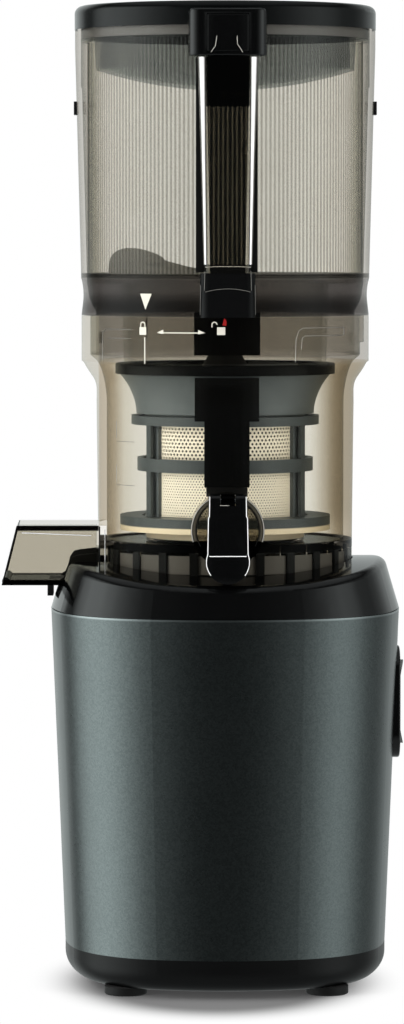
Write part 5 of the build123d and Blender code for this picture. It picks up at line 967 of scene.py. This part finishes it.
def bayonet_lines():
    """Edges of the bayonet slots in the bowl's collar, drawn as painted highlights in fine L shapes."""
    wall = COLLAR_R + 0.15
    left = ([on_wall(wall, -58.0, 327.0)] + round_wall(wall, -58.0, -56.5, 341.8, 2)
            + round_wall(wall, -55.5, -40, 343.0))
    left_low = round_wall(wall, -54.0, -41.0, 338.4)
    right = ([on_wall(wall, turn, z) for turn, z in ((27.5, 326.4), (27.8, 338.0), (29.0, 342.4))]
             + round_wall(wall, 31.0, 53.2, 343.9) + [on_wall(wall, 53.2, 340.2)])
    right_low = [on_wall(wall, 30.2, 333.0), on_wall(wall, 30.6, 338.6)] + round_wall(wall, 32.0, 52.0, 339.9)
    bead("bayonet_lines", [left, left_low, right, right_low], 0.16, "base", painted_highlight_grey)


def level_marks():
    """Faint level marks moulded inside the bowl's left wall, drawn as thin lines in the painted highlight
    finish.
    """
    wall = BOWL_R + 0.2
    marks = [round_wall(wall, -57.0, -44.5, z, 6) for z in (262.5, 285.0)]
    ticks = [[on_wall(wall, -57.0, z), on_wall(wall, -57.0, z + 9.0)] for z in (264.0, 286.5)]
    bead("level_marks", marks + ticks, 0.12, "base", painted_highlight_grey)


def wing_web():
    """The web that fills the cutting wing's hollow, so that it reads as one low hill."""
    hill = [(-60.6, 371.6), (-60.2, 376.0), (-57.2, 381.2), (-52.0, 384.0), (-46.0, 383.6), (-38.0, 380.6),
            (-30.0, 377.6), (-20.0, 374.9), (-12.0, 373.4), (-12.0, 371.6)]
    block("wing_web", hill, -4.0, -1.5, "drive", wing_grey)


liner_flutes()
wing_web()
column_edges()
shoe_lines()
lever_lines()
spout_rings()
bar_foot()
latch_block()
lid_rim()
skirt_fins()
chute_details()
bayonet_lines()
level_marks()
softened("soft_button", "latch_button", 0.5, "latch", lever_black)
softened("soft_lever", "spout_cap", 0.4, "cap", lever_black)
softened("soft_rocker", "rocker_switch", 2.4, "rocker", rocker_grey, segments=5)
sieve_band("sieve_low", 245.2, 271.0, pitch=1.6, hole=0.85, sides=6)
sieve_band("sieve_high", 271.0, 297.4, pitch=2.2, hole=1.35, sides=8)
collar_signs()


# ---------------------------------------------------------------- studio
# What polished faces mirror round the object: (degrees from the viewer, positive to the right; brightness).
TENT = [(-180, 0.34), (-152, 0.42), (-142, 0.30), (-135, 0.09), (-124, 0.07), (-116, 0.42), (-104, 0.82),
        (-88, 0.96), (-74, 0.84), (-58, 0.47), (-44, 0.22), (-30, 0.07), (-14, 0.02), (12, 0.02), (24, 0.05),
        (36, 0.12), (50, 0.27), (64, 0.48), (76, 0.55), (88, 0.38), (100, 0.15), (114, 0.10), (126, 0.14),
        (142, 0.26), (180, 0.30)]


def studio_world():
    """A white ground behind the object; in mirrors, the walls of a tent with one opening, dark towards the
    viewer and overhead."""
    world = bpy.data.worlds.new("studio")
    scene.world = world
    world.use_nodes = True
    tree = world.node_tree
    tree.nodes.clear()
    way = add(tree, "TexCoord", out="Generated")
    way = add(tree, "SeparateXYZ", {"Vector": way}, None)
    front = add(tree, "Math", {0: way["Y"], 1: -1.0}, operation="MULTIPLY")
    turn = add(tree, "Math", {0: way["X"], 1: front}, operation="ARCTAN2")
    around = add(tree, "Math", {0: turn, 1: math.tau}, operation="DIVIDE")
    around = add(tree, "Math", {0: around, 1: 0.5}, operation="ADD")
    walls = [(0.5 + degrees / 360, (0.93 * light, light, 0.99 * light, 1.0)) for degrees, light in TENT]
    mirrored = stops(add(tree, "ValToRGB", {"Fac": around}), walls)
    # Above and below the walls: the height where a shade begins, the height where it is full, and the shade.
    for start, full, shade in ((0.35, 0.6, (0.015, 0.015, 0.015, 1)), (0.6, 0.8, (0.16, 0.17, 0.17, 1)),
                               (-0.35, -0.7, (0.13, 0.14, 0.14, 1))):
        height = add(tree, "MapRange", {"Value": way["Z"], "From Min": start, "From Max": full})
        mirrored = add(tree, "Mix", {0: height, 6: mirrored, 7: shade}, 2, data_type="RGBA")
    ray = add(tree, "LightPath", out=None)
    shiny = add(tree, "Math", {0: ray["Is Glossy Ray"], 1: ray["Is Transmission Ray"]}, operation="MAXIMUM")
    plain = add(tree, "Background", {"Color": (0.5, 0.5, 0.5, 1), "Strength": 1.0})
    mirror = add(tree, "Background", {"Color": mirrored, "Strength": 2.0})
    white = add(tree, "Background", {"Color": (1, 1, 1, 1), "Strength": 1.0})
    light = add(tree, "MixShader", {0: shiny, 1: plain, 2: mirror})
    seen = add(tree, "MixShader", {0: ray["Is Camera Ray"], 1: light, 2: white})
    add(tree, "OutputWorld", {"Surface": seen})


def softbox(name, place, aim, width, height, watts):
    """A rectangular softbox that looks at a point, unseen in mirrors, where the tent stands instead."""
    lamp = bpy.data.lights.new(name, "AREA")
    lamp.shape = "RECTANGLE"
    lamp.size, lamp.size_y, lamp.energy = width, height, watts
    holder = bpy.data.objects.new(name, lamp)
    scene.collection.objects.link(holder)
    holder.location = place
    holder.rotation_euler = (Vector(aim) - Vector(place)).to_track_quat("-Z", "Y").to_euler()
    holder.visible_glossy = False


def pale_floor():
    """A pale table: white to the eye, keeping the object's soft shadow, with a dark tone painted in an oval
    round the object's foot as painted shadow, and fading to plain white far out.
    """
    work = bmesh.new()
    bmesh.ops.create_circle(work, cap_ends=True, cap_tris=False, segments=96, radius=2.5)
    mesh = meshed("table", work)
    table = bpy.data.objects.new("table", mesh)
    scene.collection.objects.link(table)
    material, tree, place = blank("pale_laminate")
    # An oval round the object's foot, where the table's tone is painted dark as painted shadow and its glow is
    # held back.
    oval = add(tree, "VectorMath", {0: place, 1: (0.005, 0.009, 0.0)}, operation="ADD")
    oval = add(tree, "VectorMath", {0: oval, 1: (1.17, 0.77, 0.0)}, operation="MULTIPLY")
    far = add(tree, "VectorMath", {0: oval}, "Value", operation="LENGTH")
    outside_painted_shadow = add(tree, "MapRange", {"Value": far, "From Min": 0.070, "From Max": 0.118},
               interpolation_type="SMOOTHSTEP")
    fine = add(tree, "TexNoise", {"Vector": place, "Scale": per_mm(1.2)})
    # The dark grey tone inside the oval is the painted shadow.
    tone = add(tree, "Mix", {0: fine, 6: colour("#6c6c6c"), 7: colour("#707070")}, 2, data_type="RGBA")
    tone = add(tree, "Mix", {0: outside_painted_shadow, 6: tone, 7: colour("#f4f4f4")}, 2, data_type="RGBA")
    matt = add(tree, "BsdfDiffuse", {"Color": tone, "Roughness": 0.4})
    glow = add(tree, "Emission", {"Color": (1, 1, 1, 1), "Strength": 1.0})
    ray = add(tree, "LightPath", out=None)
    share = add(tree, "MapRange", {"Value": outside_painted_shadow, "To Min": 0.05, "To Max": 1.0})
    share = add(tree, "Math", {0: ray["Is Camera Ray"], 1: share}, operation="MULTIPLY")
    bare = add(tree, "MixShader", {0: share, 1: matt, 2: glow})
    clear = add(tree, "BsdfTransparent")
    final = add(tree, "MixShader", {0: ray["Is Glossy Ray"], 1: bare, 2: clear})
    add(tree, "OutputMaterial", {"Surface": final})
    mesh.materials.append(material)


def camera():
    """A long lens 2.5 m away, at the height of the hopper's floor, looking down by a little over 3 degrees."""
    lens = bpy.data.cameras.new("camera")
    lens.sensor_width = 36.0
    lens.lens = 170.24
    lens.clip_end = 20.0
    holder = bpy.data.objects.new("camera", lens)
    scene.collection.objects.link(holder)
    holder.location = (-0.0399, -2.5355, 0.3945)
    holder.rotation_euler = (math.radians(90.0 - 3.348), 0.0, math.radians(-0.628))
    scene.camera = holder


studio_world()
softbox("left_box", (-1.10, -0.78, 0.42), (0.0, 0.0, 0.28), 0.55, 1.3, 24.0)
softbox("right_box", (1.10, -0.82, 0.42), (0.0, 0.0, 0.28), 0.40, 1.3, 14.0)
softbox("top_box", (0.0, -0.25, 1.55), (0.0, 0.0, 0.3), 1.1, 1.1, 6.0)
pale_floor()
camera()
scene.view_settings.view_transform = "Standard"
scene.cycles.transparent_max_bounces = 40
